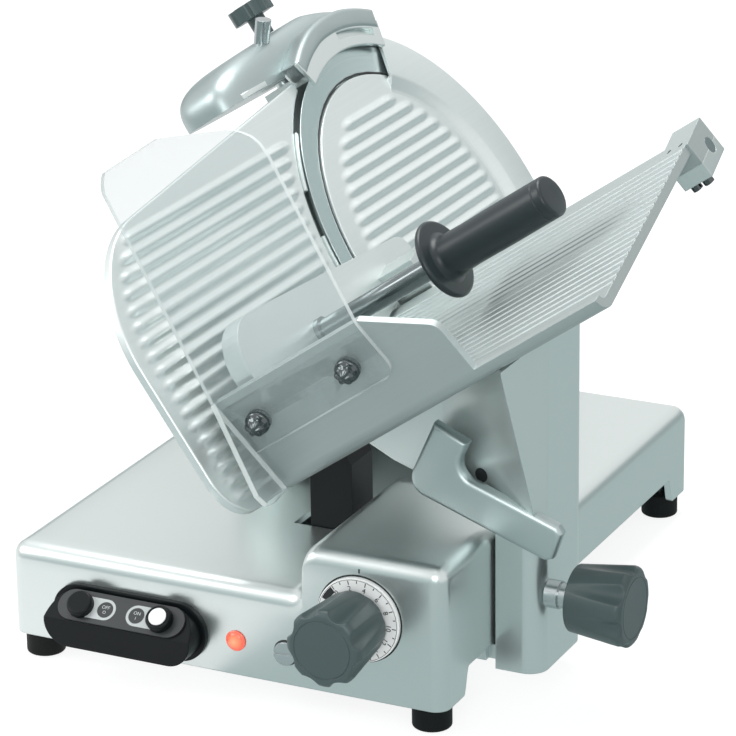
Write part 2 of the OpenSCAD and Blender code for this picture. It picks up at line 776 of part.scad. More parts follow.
module blade_cover() part(satin) at_blade() {
    difference() {
        union() {
            translate([0, 0, cover_back]) rod_z_fine(cover_r, cover_face - cover_back);
            translate([0, 0, cover_back - 3]) rod_z(12, 4);
            rotate(guard_from) rotate_extrude(angle = guard_to - guard_from, $fn = 128) polygon([
                [cover_r - 14, cover_face - 1], [cover_r - 2, cover_face - 1], [cover_r - 2, guard_under],
                [guard_r - 4, guard_under], [guard_r - 4, guard_back], [guard_r, guard_back],
                [guard_r, guard_front - 1], [guard_r - 1, guard_front], [cover_r - 2, guard_front],
                [cover_r - 14, cover_face]]);
        }
        translate([0, 0, cover_back - 4]) rod_z(tie_r + run_gap, 5.5);
    }
    intersection() {
        for (i = [-8:9]) {
            y = i * ridge_pitch + ridge_pitch / 6;
            half = sqrt(pow(cover_ridge_r, 2) - pow(y, 2));
            ridge(-half, half, y, cover_face);
        }
        translate([0, 0, cover_face - 1]) rod_z(cover_r, 10);
    }
}

module rod_z_fine(r, l) cylinder(r = r, h = l, $fn = 128);

module tie_rod() part(steel) at_blade() translate([0, 0, gear_cover_z - slide_gap - tie_knob_len + 6])
    rod_z(tie_r, cover_back - 2 - gear_cover_z + slide_gap + tie_knob_len - 6);

module tie_knob() part(grey_plastic) at_blade() translate([0, 0, gear_cover_z - slide_gap - tie_knob_len]) difference() {
    linear_extrude(tie_knob_len) fluted(tie_knob_r, 8, 6);
    translate([0, 0, 6]) rod_z(tie_r + fix_gap, tie_knob_len);
}

// Thickness knob, its scale, shaft and scroll cam

module at_knob() translate([knob_x, 0, knob_z]) rotate([90, 0, 0]) children();

dial_t = gasket_t - slide_gap;
knob_back = gasket_t;

// Round knob that narrows to its back, rounded at its face, with hollows along its side
module knob_form(r, l, taper, count, hollow) difference() {
    rotate_extrude() polygon(concat([[0, 0], [r - taper - 1, 0], [r - taper, 1]],
        arc([r - 5, l - 5], 5, 0, 90, 5), [[0, l]]));
    for (i = [0:count - 1]) rotate((i + 0.5) * 360 / count) translate([r + hollow * 0.55, 0, -1])
        rod_z(hollow, l + 2);
}

module thickness_knob() part(grey_plastic) at_knob() difference() {
    union() {
        translate([0, 0, knob_back]) rod_z(knob_shaft_r + 8, 5);
        translate([0, 0, knob_back + 4]) knob_form(knob_d / 2, knob_len, 4, 8, 9);
    }
    translate([0, 0, knob_back - 1]) rod_z(knob_shaft_r + fix_gap, knob_len - 8);
}

module dial_plate() part("white") at_knob() translate([0, 0, slide_gap]) difference() {
    union() {
        rod_z(dial_d / 2, dial_t - 1.2);
        rod_z(dial_d / 2 - 1, dial_t);
    }
    translate([0, 0, -1]) rod_z(knob_shaft_r + fix_gap, dial_t + 2);
}

module knob_shaft() part(steel) translate([knob_x, -knob_back - knob_len + 14, knob_z])
    rod_y(knob_shaft_r, knob_back + knob_len - 14 + shaft_rib_y + 8);

// Groove of the scroll: its radius grows steadily with the angle
cam_pin_angle = 180 + blade_tilt;
function cam_radius(turn) = cam_r0 + slice_max * turn / slice_turn;
function groove_point(turn, side) = let (a = cam_pin_angle + slice_now / slice_max * slice_turn - turn,
    r = cam_radius(turn) + side * groove_w / 2) [r * cos(a), r * sin(a)];
groove_steps = 40;

module scroll_groove() {
    polygon(concat(
        [for (i = [0:groove_steps]) groove_point(i * slice_turn / groove_steps, 1)],
        [for (i = [groove_steps:-1:0]) groove_point(i * slice_turn / groove_steps, -1)]));
    for (turn = [0, slice_turn]) translate(groove_point(turn, 0)) circle(groove_w / 2);
}

module scroll_cam() part([0.72, 0.58, 0.3]) at_knob() translate([0, 0, -cam_y - cam_t]) difference() {
    rod_z(cam_r, cam_t);
    translate([0, 0, -1]) rod_z(knob_shaft_r + fix_gap, cam_t + 2);
    translate([0, 0, -1]) linear_extrude(groove_depth + 1) scroll_groove();
}

// Gauge plate and its arm

gauge_cx = -gauge_front + gauge_corner;
gauge_cy = gauge_top - gauge_corner / cos(gauge_fall);
gauge_ridge_in = 15;
function gauge_left(y) = y < gauge_cy ? -gauge_front
    : gauge_cx - sqrt(max(0, pow(gauge_corner, 2) - pow(y - gauge_cy, 2)));

module gauge_outline() {
    low_r = 34;
    top = [gauge_cx + gauge_corner * -sin(gauge_fall), gauge_cy + gauge_corner * cos(gauge_fall)];
    difference() {
        union() {
            polygon([[-gauge_front, -gauge_low + low_r], [-gauge_front, gauge_cy], [gauge_cx, gauge_cy], top,
                [-blade_r * 0.3, top[1] + (-blade_r * 0.3 - top[0]) * tan(gauge_fall)],
                [-blade_r * 0.3, -gauge_low], [-gauge_front + low_r, -gauge_low]]);
            translate([gauge_cx, gauge_cy]) circle(gauge_corner);
            translate([-gauge_front + low_r, -gauge_low + low_r]) circle(low_r);
        }
        circle(blade_r + gauge_gap, $fn = 128);
        translate([-blade_r * 0.45, -big / 2]) square(big);
    }
}

module gauge_plate() part(satin) at_blade() {
    translate([0, 0, gauge_back]) linear_extrude(gauge_t) gauge_outline();
    intersection() {
        for (i = [-7:8]) {
            y = i * ridge_pitch;
            rim = blade_r + gauge_gap + gauge_ridge_in;
            ridge(gauge_left(y) + gauge_ridge_in, -sqrt(pow(rim, 2) - pow(y, 2)), y, gauge_face);
        }
        translate([-big, -big / 2, gauge_face - 1]) cube([big, big, 20]);
    }
}

module gauge_arm() part(cast_dark) difference() {
    union() {
        difference() {
            translate([arm_x0, arm_y0, arm_low]) cube([arm_w, arm_d, blade_z - arm_low]);
            at_blade() translate([-big / 2, -big / 2, gauge_back]) cube(big);
        }
        intersection() {
            at_blade() translate([arm_y0 - blade_y - 40, -gauge_low + 8, gauge_back - 10]) cube([arm_d + 80, 64, 10]);
            translate([0, 0, slab_top + 12]) cube(big);
        }
        lever_x = knob_x - (cam_radius(slice_turn * slice_now / slice_max)) * cos(blade_tilt);
        lever_z = knob_z - (cam_radius(slice_turn * slice_now / slice_max)) * sin(blade_tilt);
        translate([arm_x0 + arm_w - 4, arm_y0 + arm_d - lever_t, lever_z - lever_h / 2])
            cube([lever_x + pin_r + 2.5 - arm_x0 - arm_w + 4, lever_t, lever_h]);
    }
    translate(gauge_rod_at) rotate([0, 90 - blade_tilt, 0]) translate([0, 0, -50]) rod_z(gauge_rod_r + run_gap, 100);
    at_pin() rod_y(pin_r + fix_gap, 40);
}

module at_pin() {
    r = cam_radius(slice_turn * slice_now / slice_max);
    translate([knob_x - r * cos(blade_tilt), cam_y + cam_t - groove_depth + 0.5, knob_z - r * sin(blade_tilt)]) children();
}

module follower_pin() part(steel) at_pin() rod_y(pin_r, arm_y0 + arm_d - cam_y - cam_t + groove_depth - 0.5);

// Carriage

module carriage_bracket() part(satin) difference() {
    union() {
        translate([rail_x, barrel_y0, rail_z]) rod_y(barrel_r, barrel_len);
        translate([rail_x - barrel_r, barrel_y0, bracket_z0]) cube([2 * barrel_r, barrel_len, rail_z - bracket_z0]);
        translate([rail_x, barrel_y0 + 5, bracket_z0]) cube([post_x0 - rail_x, barrel_len - 10, bracket_t]);
        translate([bar_x0 - fork_t, barrel_y0, bracket_z0])
            cube([rail_x - bar_x0 - barrel_r + fork_t + 1, barrel_len, bar_z0 + bar_h + 4 - bracket_z0]);
    }
    translate([rail_x, barrel_y0 - 1, rail_z]) rod_y(rail_r + bush_t + fix_gap, barrel_len + 2);
    translate([bar_x0 - slide_gap, barrel_y0 - 1, bar_z0 - slide_gap])
        cube([bar_w + 2 * slide_gap, barrel_len + 2, bar_h + 2 * slide_gap]);
}

module carriage_bushes() part([0.72, 0.58, 0.3])
    for (y = [barrel_y0, barrel_y0 + barrel_len - bush_len]) translate([rail_x, y, rail_z]) difference() {
        rod_y(rail_r + bush_t, bush_len);
        translate([0, -1, 0]) rod_y(rail_r + run_gap, bush_len + 2);
    }

// Post beside the base, cut off by the underside of the tray
module carriage_post() part(satin) difference() {
    union() {
        translate([post_x0, post_y0, post_low]) linear_extrude(blade_z + 120) {
            translate([0, 0]) square([post_w - post_r, post_d]);
            translate([0, post_r]) square([post_w, post_d - 2 * post_r]);
            for (y = [post_r, post_d - post_r]) translate([post_w - post_r, y]) circle(post_r);
        }
        translate([0, post_y0 + 20, 0]) rotate([90, 0, 0]) linear_extrude(13) difference() {
            polygon([[post_x0 + 1, housing_top + 12], [post_x0 + 1, blade_z + 140], [post_x0 - 102, blade_z + 140],
                [post_x0 - 102, housing_top + 48], [post_x0 - 80, housing_top + 37], [post_x0 - 52, housing_top + 27]]);
            translate([post_x0 - 11, housing_top + 58]) circle(4.5);
        }
    }
    at_tray() translate([-big / 2, 0, -big / 2]) cube(big);
    translate([lock_x - stud_in - 1, lock_y, lock_z]) rod_x(stud_r + run_gap, stud_in + 2);
}

module tray_section() {
    translate([bend_r, 0]) square([tray_depth - bend_r, tray_t]);
    ridge_step = (tray_depth - 50) / (tray_ridges - 1);
    for (i = [0:tray_ridges - 1]) translate([30 + i * ridge_step, tray_t - 0.4]) circle(1.3, $fn = 24);
    difference() {
        translate([bend_r, bend_r]) circle(bend_r);
        translate([bend_r, bend_r]) circle(bend_r - tray_t);
        translate([bend_r, bend_r]) translate([-big, 0]) square([2 * big, big]);
        translate([bend_r, bend_r]) translate([0, -big]) square([big, 2 * big]);
    }
}

guard_screw_at = [[21, 57], [104, 57]];
screw_shank_r = 3;

module tray() part(satin) at_tray() difference() {
    union() {
        difference() {
            linear_extrude(tray_len + tray_depth * tan(tray_slant)) tray_section();
            translate([0, 0, tray_len]) rotate([0, -tray_slant, 0]) translate([-big / 2, -big / 2, 0]) cube(big);
        }
        // front wall, lower towards its far end
        rotate([0, -90, 0]) mirror([0, 0, 1]) linear_extrude(tray_t) polygon(concat(
            [[0, bend_r], [0, tray_wall_h], [panel_w, tray_wall_h]],
            arc([tray_wall_len - 11, tray_wall_h - 36], 11, 58, 0, 6), [[tray_wall_len, bend_r]]));
        // lugs that hold the slide rod
        translate([lug_v0, lug_low, rod_l0]) cube([lug_far - lug_v0, tray_t / 2 - lug_low, lug_len]);
        translate([lug_v0, rod_w, clamp_l0]) cube([lug_far - lug_v0, tray_t - rod_w, clamp_len]);
    }
    translate([rod_v, rod_w, rod_l0 - 1]) rod_z(slide_rod_r + fix_gap, rod_len + 2);
    for (p = guard_screw_at) translate([-1, p[1], p[0]]) rod_x(screw_shank_r + fix_gap, tray_t + 2);
    for (l = clamp_screw_l) translate([clamp_screw_v, lug_low, l]) rod_y(screw_r + fix_gap, 12 - lug_low);
}

clamp_screw_v = lug_v0 + 6;
clamp_screw_l = [clamp_l0 + 6, clamp_l0 + clamp_len - 8];

module rod_clamp() part(satin) at_tray() difference() {
    translate([lug_v0, lug_low, clamp_l0]) cube([lug_far - lug_v0, rod_w - lug_low, clamp_len]);
    translate([rod_v, rod_w, clamp_l0 - 1]) rod_z(slide_rod_r + fix_gap, clamp_len + 2);
    for (l = clamp_screw_l) translate([clamp_screw_v, lug_low - 1, l]) rod_y(screw_r + fix_gap, rod_w - lug_low + 2);
}

module clamp_screws() part(steel) at_tray() for (l = clamp_screw_l) translate([clamp_screw_v, lug_low, l]) {
    rod_y(screw_r, rod_w - lug_low + 9);
    difference() {
        translate([0, -5, 0]) rod_y(screw_r + 2, 5);
        translate([0, -6, 0]) rotate([-90, 0, 0]) cylinder(r = 2, h = 4, $fn = 6);
    }
}

module slide_rod() part(chrome) at_tray() translate([rod_v, rod_w, rod_l0]) rod_z(slide_rod_r, rod_len);

// Clear guard: a sheet folded over the wall's edge, with a lip along its left edge
flange_low = 38;
lip_out = tray_wall_h * tan(panel_lean);

module clear_guard() part([0.85, 0.93, 0.93, 0.45]) at_tray() difference() {
    union() {
        linear_extrude(panel_w) polygon([
            [-panel_t, flange_low], [0, flange_low], [0, tray_wall_h],
            [panel_h * sin(panel_lean), tray_wall_h + panel_h * cos(panel_lean)],
            [panel_h * sin(panel_lean) - panel_t * cos(panel_lean),
                tray_wall_h + panel_h * cos(panel_lean) + panel_t * sin(panel_lean)],
            [-panel_t, tray_wall_h + panel_t * tan(panel_lean / 2)]]);
        linear_extrude(panel_t) polygon([[-panel_t / 2, flange_low + 2], [-panel_t / 2, tray_wall_h], [-panel_t - 1, tray_wall_h],
            [-lip_out, 22], [-lip_out + 2, 14], [-panel_t, 6]]);
    }
    for (p = guard_screw_at) translate([-panel_t - 1, p[1], p[0]]) rod_x(screw_shank_r + fix_gap, panel_t + 2);
    // round lower corner of the flange, and the panel's slanting top
    translate([-panel_t - 1, flange_low, panel_w]) rotate([0, 90, 0]) linear_extrude(panel_t + 2) corner_cut(10);
    translate([0, tray_wall_h, 0]) rotate(-panel_lean) translate([-panel_t - 1, 0, 0]) rotate([0, 90, 0])
        linear_extrude(panel_t + 2) polygon([
            [-panel_w * 0.45, panel_h], [-panel_w + 12, panel_h - 24], [-panel_w + 3, panel_h - 34],
            [-panel_w, panel_h - 48], [-panel_w - 9, panel_h - 48], [-panel_w - 9, panel_h + 9],
            [-panel_w * 0.45, panel_h + 9]]);
    translate([0, tray_wall_h, 0]) rotate(-panel_lean) translate([-panel_t - 1, 0, 0]) rotate([0, 90, 0])
        linear_extrude(panel_t + 2) polygon([[1, panel_h - 9], [-8, panel_h], [-8, panel_h + 1], [1, panel_h + 1]]);
}

// Waste outside a round corner of a sheet, at the origin, the sheet lying at +x and +y
module corner_cut(r) polygon(concat([[-1, -1], [r, -1]], arc([r, r], r, 270, 180, 8), [[-1, r]]));

module guard_screws() part(chrome) at_tray() for (p = guard_screw_at) translate([-panel_t, p[1], p[0]]) {
    rod_x(screw_shank_r, panel_t + tray_t + 4);
    rotate([0, -90, 0]) {
        rod_z(8.5, 3);
        translate([0, 0, 3]) intersection() {
            linear_extrude(9) fluted(8, 5, 3);
            rotate_extrude() polygon([[0, 0], [8, 0], [7.2, 3], [1.5, 9], [0, 9]]);
        }
        translate([0, 0, -panel_t - tray_t - 4]) rod_z(6, 4);
    }
}

// Bent flat grip on the front of the post
grip_t = 12;
grip_r = 12.5;

module carriage_handle() part(satin) translate([0, post_y0, 0]) rotate([90, 0, 0]) linear_extrude(grip_t) {
    bend = [post_x0 - 40, slab_top + 86];
    long_end = [post_x0 + 50, slab_top + 38];
    short_end = [post_x0 - 27, slab_top + 104];
    down = atan2(long_end[1] - bend[1], long_end[0] - bend[0]);
    rise = atan2(short_end[1] - bend[1], short_end[0] - bend[0]);
    half = (rise - down) / 2;
    inner = bend + grip_r / sin(half) * [cos(down + half), sin(down + half)];
    polygon(concat(
        arc(bend, grip_r, rise + 90, down + 270, 8),
        [for (s = [-1, 1]) long_end + grip_r * [cos(down + 90 * s), sin(down + 90 * s)]
            + 9 * [cos(down), sin(down)]],
        [inner],
        arc(short_end, grip_r, rise - 90, rise + 90, 8)));
}

module lock_collar() part(steel) translate([lock_x, lock_y, lock_z]) difference() {
    union() {
        rod_x(collar_r + 1, collar_len / 2 - 0.5);
        rod_x(collar_r - 0.5, collar_len);
        translate([collar_len / 2 + 0.5, 0, 0]) rod_x(collar_r, collar_len / 2 - 0.5);
    }
    translate([-1, 0, 0]) rod_x(stud_r + run_gap, collar_len + 2);
}

module lock_knob() part(grey_plastic) translate([lock_x, lock_y, lock_z]) {
    translate([-stud_in, 0, 0]) rod_x(stud_r, stud_in + collar_len + slide_gap + 1);
    translate([collar_len + slide_gap, 0, 0]) rotate([0, 90, 0]) knob_form(lock_d / 2, lock_len, 5, 7, 9);
}

// Pusher

module pusher_slider() part(steel) at_tray() translate([rod_v, rod_w, sleeve_l0]) difference() {
    union() {
        rod_z(sleeve_r, sleeve_len);
        for (l = [0, sleeve_len - sleeve_flange]) translate([0, 0, l]) rod_z(arm_hub_r, sleeve_flange);
    }
    translate([0, 0, -1]) rod_z(slide_rod_r + run_gap, sleeve_len + 2);
}

module pusher_arm() part(satin) at_tray() difference() {
    l0 = sleeve_l0 + sleeve_flange + slide_gap;
    l1 = sleeve_l0 + sleeve_len - sleeve_flange - slide_gap;
    union() {
        translate([rod_v, rod_w, l0]) rod_z(arm_hub_r, l1 - l0);
        translate([tray_depth + 4, 0, plate_l0 + plate_depth])
            cube([rod_v + arm_hub_r - 2 - tray_depth - 4, 32, l1 - plate_l0 - plate_depth - 4]);
    }
    translate([rod_v, rod_w, l0 - 1]) rod_z(sleeve_r + run_gap, l1 - l0 + 2);
    translate([rod_v, rod_w, plate_l0]) rod_z(arm_hub_r + slide_gap, l0 - plate_l0);
}

// Outline of the pusher plate: tall and round at the front, low at the back
module pusher_outline(inset) {
    front_r = 34 - inset;
    back_r = 14 - inset;
    low = tray_t + 3 + inset;
    tall = [22 + 34, 74];
    rear = [tray_depth + 52, low + back_r];
    across = rear - tall;
    lean = atan2(across[1], across[0]) + acos((front_r - back_r) / norm(across));
    polygon(concat(
        [[tall[0] - front_r, low + 8], [tall[0] - front_r + 8, low]],
        arc(rear, back_r, -90, lean, 8),
        arc(tall, front_r, lean, 180, 10)));
}

module pusher_plate() part(satin) at_tray() translate([0, 0, plate_l0]) difference() {
    linear_extrude(plate_depth) pusher_outline(0);
    translate([0, 0, -1]) linear_extrude(plate_depth - plate_skin + 1) pusher_outline(plate_rim);
    translate([shaft_v, shaft_w, 0]) rod_z(screw_shank_r + fix_gap, plate_depth + 1);
}

module pusher_shaft() part(chrome) at_tray() translate([shaft_v, shaft_w, plate_l0 + plate_depth]) {
    rod_z(pusher_shaft_d / 2, pusher_reach);
    rod_z(pusher_shaft_d / 2 + 2, 4);
    translate([0, 0, pusher_reach]) rod_z(screw_shank_r + 2, disc_t + handle_len / 2);
    translate([0, 0, -plate_skin]) rod_z(screw_shank_r, plate_skin);
}

module hand_disc() part(grey_plastic) at_tray() translate([shaft_v, shaft_w, disc_l0]) difference() {
    rotate_extrude() {
        square([disc_d / 2 - disc_t / 2, disc_t]);
        translate([disc_d / 2 - disc_t / 2, disc_t / 2]) circle(disc_t / 2);
    }
    translate([0, 0, -1]) rod_z(screw_shank_r + 2 + fix_gap, disc_t + 2);
}

module pusher_handle() part(grey_plastic) at_tray() translate([shaft_v, shaft_w, disc_l0 + disc_t]) difference() {
    rotate_extrude() {
        square([handle_d / 2 + 3, 3]);
        square([handle_d / 2, handle_len - 1]);
        square([handle_d / 2 - 1, handle_len]);
        translate([handle_d / 2 - 1, handle_len - 1]) circle(1);
    }
    translate([0, 0, -1]) rod_z(screw_shank_r + 2 + fix_gap, handle_len / 2 + 2);
}

// Sharpener

module dome_capsule(r) {
    translate([dome_x0, 0, 0]) rod_x(r, dome_x1 - dome_x0);
    for (x = [dome_x0, dome_x1]) translate([x, 0, 0]) sphere(r);
}

shelf_top = sharp_y + shelf_t;

module at_stone_button() translate([button_x, shelf_top, dome_z]) rotate([button_lean - 90, 0, 0]) children();

module sharpener_cover() part(satin) at_blade() difference() {
    translate([0, shelf_top, dome_z]) dome_capsule(dome_r);
    translate([0, shelf_top, dome_z]) dome_capsule(dome_r - dome_t);
    translate([-big / 2, shelf_top - big, -big / 2]) cube(big);
    translate([star_x, shelf_top, dome_z]) rod_y(4 + run_gap, dome_r + 2);
    at_stone_button() rod_z(button_r + run_gap, dome_r + 5);
}

module sharpener_bracket() part(satin) at_blade() difference() {
    union() {
        translate([0, sharp_y, dome_z]) rotate([-90, 0, 0]) linear_extrude(shelf_t)
            slot([dome_x0, 0], [dome_x1, 0], dome_r);
        translate([0, 0, band_back]) linear_extrude(band_front - band_back)
            sector(blade_r + sharp_gap, band_r, band_from, band_to);
        translate([0, 0, band_front - 3]) linear_extrude(3)
            sector(blade_r - band_lip, band_r, band_from, band_to);
        translate([leg_x, sharp_y - leg_len, dome_z]) rod_y(leg_r, leg_len + 1);
    }
    translate([0, 0, band_front - 4]) linear_extrude(5)
        sector(blade_r + sharp_gap + 3, blade_r + sharp_gap + 9, band_from + 3, band_from + 22);
}

stone_r = 12;
module sharpener_stones() part([0.75, 0.5, 0.45]) at_blade()
    for (x = [star_x - 2.2 * stone_r, star_x + 2.2 * stone_r]) translate([x, shelf_top, dome_z]) {
        rod_y(4, 5);
        translate([0, 5, 0]) rod_y(stone_r, 8);
    }

module sharpener_knob() part(grey_plastic) at_blade() translate([star_x, shelf_top, dome_z]) rotate([-90, 0, 0]) {
    translate([0, 0, 2]) rod_z(4, dome_r + 6);
    translate([0, 0, dome_r + slide_gap]) rod_z(star_stem_r, star_stem_h);
    translate([0, 0, dome_r + slide_gap + star_stem_h]) linear_extrude(star_h) fluted(star_r, 8, 4);
}

module stone_button() part(chrome) at_blade() at_stone_button() {
    translate([0, 0, dome_r - dome_t - 10]) rod_z(button_r, button_len - dome_r + dome_t + 28);
    translate([0, 0, dome_r - dome_t - 10]) rod_z(button_r + 2, 5);
}

base_casting();
base_plate();
panel_screws();
rubber_feet();
foot_screws();
switch_gasket();
switch_body();
switch_plate();
indicator_lamp();
adjuster_plug();
carriage_rod();
guide_bar();
gauge_rod();
blade_housing();
gear_cover();
motor();
motor_cover();
spindle_bearings();
blade_cover();
blade();
spindle();
worm_wheel();
blade_screws();
worm_shaft();
tie_rod();
tie_knob();
thickness_knob();
dial_plate();
knob_shaft();
scroll_cam();
gauge_plate();
gauge_arm();
follower_pin();
off_button();
on_button();
on_cap();
carriage_bracket();
carriage_bushes();
carriage_post();
tray();
clear_guard();
guard_screws();
carriage_handle();
slide_rod();
rod_clamp();
clamp_screws();
lock_collar();
lock_knob();
pusher_slider();
pusher_arm();
pusher_plate();
pusher_shaft();
hand_disc();
pusher_handle();
sharpener_cover();
sharpener_bracket();
sharpener_stones();
sharpener_knob();
stone_button();
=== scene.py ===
# %% [markdown]
# A lesson in dressing a packed machine. The solids of an electric food slicer come in
# as a fixed frame, in metres, with the bodies that move. This script gives every solid
# its finish, swaps the cast and moulded ones for smooth surfaces worked out with numpy,
# and sets up a plain studio with the camera where the picture was taken.

# %% Load the frame
import math

import bmesh
import bpy
import numpy as np
from mathutils import Matrix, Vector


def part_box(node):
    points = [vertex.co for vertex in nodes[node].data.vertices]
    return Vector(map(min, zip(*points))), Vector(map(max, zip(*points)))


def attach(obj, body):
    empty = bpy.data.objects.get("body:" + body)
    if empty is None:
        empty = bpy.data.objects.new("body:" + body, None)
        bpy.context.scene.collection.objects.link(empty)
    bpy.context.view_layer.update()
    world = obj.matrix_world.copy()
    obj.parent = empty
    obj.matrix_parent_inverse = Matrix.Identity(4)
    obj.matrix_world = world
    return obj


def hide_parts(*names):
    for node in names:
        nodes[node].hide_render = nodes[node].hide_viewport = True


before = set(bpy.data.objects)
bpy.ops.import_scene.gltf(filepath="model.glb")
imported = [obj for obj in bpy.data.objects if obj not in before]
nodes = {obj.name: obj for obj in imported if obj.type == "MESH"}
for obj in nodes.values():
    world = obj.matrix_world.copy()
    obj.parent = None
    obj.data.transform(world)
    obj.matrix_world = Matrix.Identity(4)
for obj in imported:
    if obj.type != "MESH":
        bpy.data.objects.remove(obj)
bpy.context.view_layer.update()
scene = bpy.context.scene

# %% [markdown]
# The maker's drawing starts at the front left corner of the base, in millimetres. More
# local frames lie in it: the tilted blade, the tray that hangs on the blade's plane, the
# sloping key plate, and any point on the front or the right side. Objects could be turned
# in Blender instead, but a piece has to stay at the origin, unturned. So every shape is
# worked out square to its own axes, and one function per frame carries its points.

# %% Local frames
MM = 0.001
base_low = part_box("base_casting")[0]
CORNER = np.array([base_low.x, base_low.y, 0.0])
TILT = math.radians(35)
BLADE_AT = np.array([159.0, 382.0, 234.0])
RIGHT, BACK, UP = np.eye(3)
UP_BLADE = np.array([-math.sin(TILT), 0.0, math.cos(TILT)])
OFF_BLADE = np.array([math.cos(TILT), 0.0, math.sin(TILT)])
LEAN = math.radians(15)
TRAY_FRONT, TRAY_DROP, TRAY_GAP = 370.0, 98.6, 5.0
KEY_SLOPE = math.radians(42)
KEY_AT = np.array([98.0, -23.0, 46.0])
KNOB_AT = np.array([277.0, 0.0, 78.0])
LOCK_AT = np.array([376.0, 95.0, 77.0])


def in_metres(p):
    """Drawing millimetres to the frame's metres."""
    return np.asarray(p, float) * MM + CORNER


def from_axes(p, at, ex, ey, ez):
    """Local x, y and z carried along three directions from a point."""
    p = np.asarray(p, float)
    return in_metres(at + p[..., :1] * ex + p[..., 1:2] * ey + p[..., 2:] * ez)


def from_blade(p):
    """x to the back, y up the blade, z off the blade's face."""
    return from_axes(p, BLADE_AT, BACK, UP_BLADE, OFF_BLADE)


def from_tray(p):
    """x over the tray's floor to the back, y off the floor, z away from the blade."""
    floor = math.cos(LEAN) * BACK + math.sin(LEAN) * UP_BLADE
    rise = math.cos(LEAN) * UP_BLADE - math.sin(LEAN) * BACK
    at = BLADE_AT - TRAY_FRONT * BACK - TRAY_DROP * UP_BLADE + TRAY_GAP * OFF_BLADE
    return from_axes(p, at, floor, rise, OFF_BLADE)


def from_keys(p):
    """x to the right, y up the key plate, z out of it."""
    up = math.cos(KEY_SLOPE) * BACK + math.sin(KEY_SLOPE) * UP
    out = math.cos(KEY_SLOPE) * UP - math.sin(KEY_SLOPE) * BACK
    return from_axes(p, KEY_AT, RIGHT, up, out)


def from_front(at):
    """A frame at a point: x to the right, y up, z out of the front of the base."""
    return lambda p: from_axes(p, at, RIGHT, UP, -BACK)


def from_side(at):
    """A frame at a point: x down, y to the back, z out to the right."""
    return lambda p: from_axes(p, at, -UP, BACK, RIGHT)


print("blade centre", np.round(from_blade(np.zeros(3)), 4))

# %% [markdown]
# The camera stands to the right of the operator and a little above, with a long lens. It
# could be aimed by a Track To constraint, but that keeps the horizon level. Its three
# directions and its place, worked out from the lines of the object, also give its roll.

# %% Camera
VIEW_RIGHT = np.array([0.9001, 0.4357, -0.0129])
VIEW_BACK = np.array([0.4129, -0.8429, 0.3450])
CAMERA_AT = in_metres([1328.0, -2127.3, 1131.9])
SENSOR, LENS = 36.0, 186.1


def unit(v):
    """A vector divided by its length."""
    return v / np.linalg.norm(v)


camera_data = bpy.data.cameras.new("view")
camera_data.sensor_width = SENSOR
camera_data.lens = LENS
camera_data.dof.use_dof = False
camera = bpy.data.objects.new("view", camera_data)
scene.collection.objects.link(camera)
place = np.eye(4)
place[:3, 0] = unit(VIEW_RIGHT)
place[:3, 2] = unit(VIEW_BACK)
place[:3, 1] = np.cross(place[:3, 2], place[:3, 0])
place[:3, 0] = np.cross(place[:3, 1], place[:3, 2])
place[:3, 3] = CAMERA_AT
camera.matrix_world = Matrix(place.tolist())
scene.camera = camera
scene.view_settings.view_transform = "Standard"
print("camera at", np.round(CAMERA_AT, 3), "lens", LENS)

# %% [markdown]
# Nodes can be laid out by hand in the Shader Editor. In a script the same tree takes a line
# for each node, each value and each link, so a helper makes a node with all its inputs at
# once: a socket among them is linked, and anything else is a constant.

# %% Node helpers
NODE_STEP, NODE_LEFT = 220, -2400


def feed(tree, node, feeds):
    """Sets inputs by name or number: a socket is linked, anything else is a constant."""
    for key, value in feeds.items():
        if isinstance(value, bpy.types.NodeSocket):
            tree.links.new(value, node.inputs[key])
        else:
            node.inputs[key].default_value = value


def new_node(tree, kind, feeds=None, **settings):
    """A node with its settings and inputs, placed to the right of the ones before it."""
    node = tree.nodes.new(kind)
    node.location = (NODE_LEFT + NODE_STEP * len(tree.nodes), 0)
    for key, value in settings.items():
        setattr(node, key, value)
    feed(tree, node, feeds or {})
    return node


def bare_tree(owner):
    """The node tree of a world or a material, emptied."""
    owner.use_nodes = True
    owner.node_tree.nodes.clear()
    return owner.node_tree


def split_output(tree, kind, soft, direct):
    """One shader for soft light, and another where a camera, mirror or clear ray looks."""
    path = new_node(tree, "ShaderNodeLightPath").outputs
    seen = path["Is Camera Ray"]
    for ray in ("Is Glossy Ray", "Is Transmission Ray"):
        seen = new_node(tree, "ShaderNodeMath", {0: seen, 1: path[ray]}, operation="MAXIMUM").outputs[0]
    mix = new_node(tree, "ShaderNodeMixShader", {0: seen, 1: soft.outputs[0], 2: direct.outputs[0]})
    new_node(tree, kind, {0: mix.outputs[0]})


# %% [markdown]
# The room is a white floor and a white world. More light would make them white too, but it
# would also bleach the machine. So camera, mirror and clear rays see a plain white, soft
# light comes from a dimmer world, and the floor keeps the machine's shadow.

# %% White room
AMBIENT, FLOOR_GLOW, FLOOR_TINT = 0.52, 0.86, 0.25
world = bpy.data.worlds.new("white_room")
scene.world = world
tree = bare_tree(world)
soft = new_node(tree, "ShaderNodeBackground", {"Color": (0.95, 0.985, 1.0, 1.0), "Strength": AMBIENT})
plain = new_node(tree, "ShaderNodeBackground", {"Color": (1.0, 1.0, 1.0, 1.0), "Strength": 1.0})
split_output(tree, "ShaderNodeOutputWorld", soft, plain)


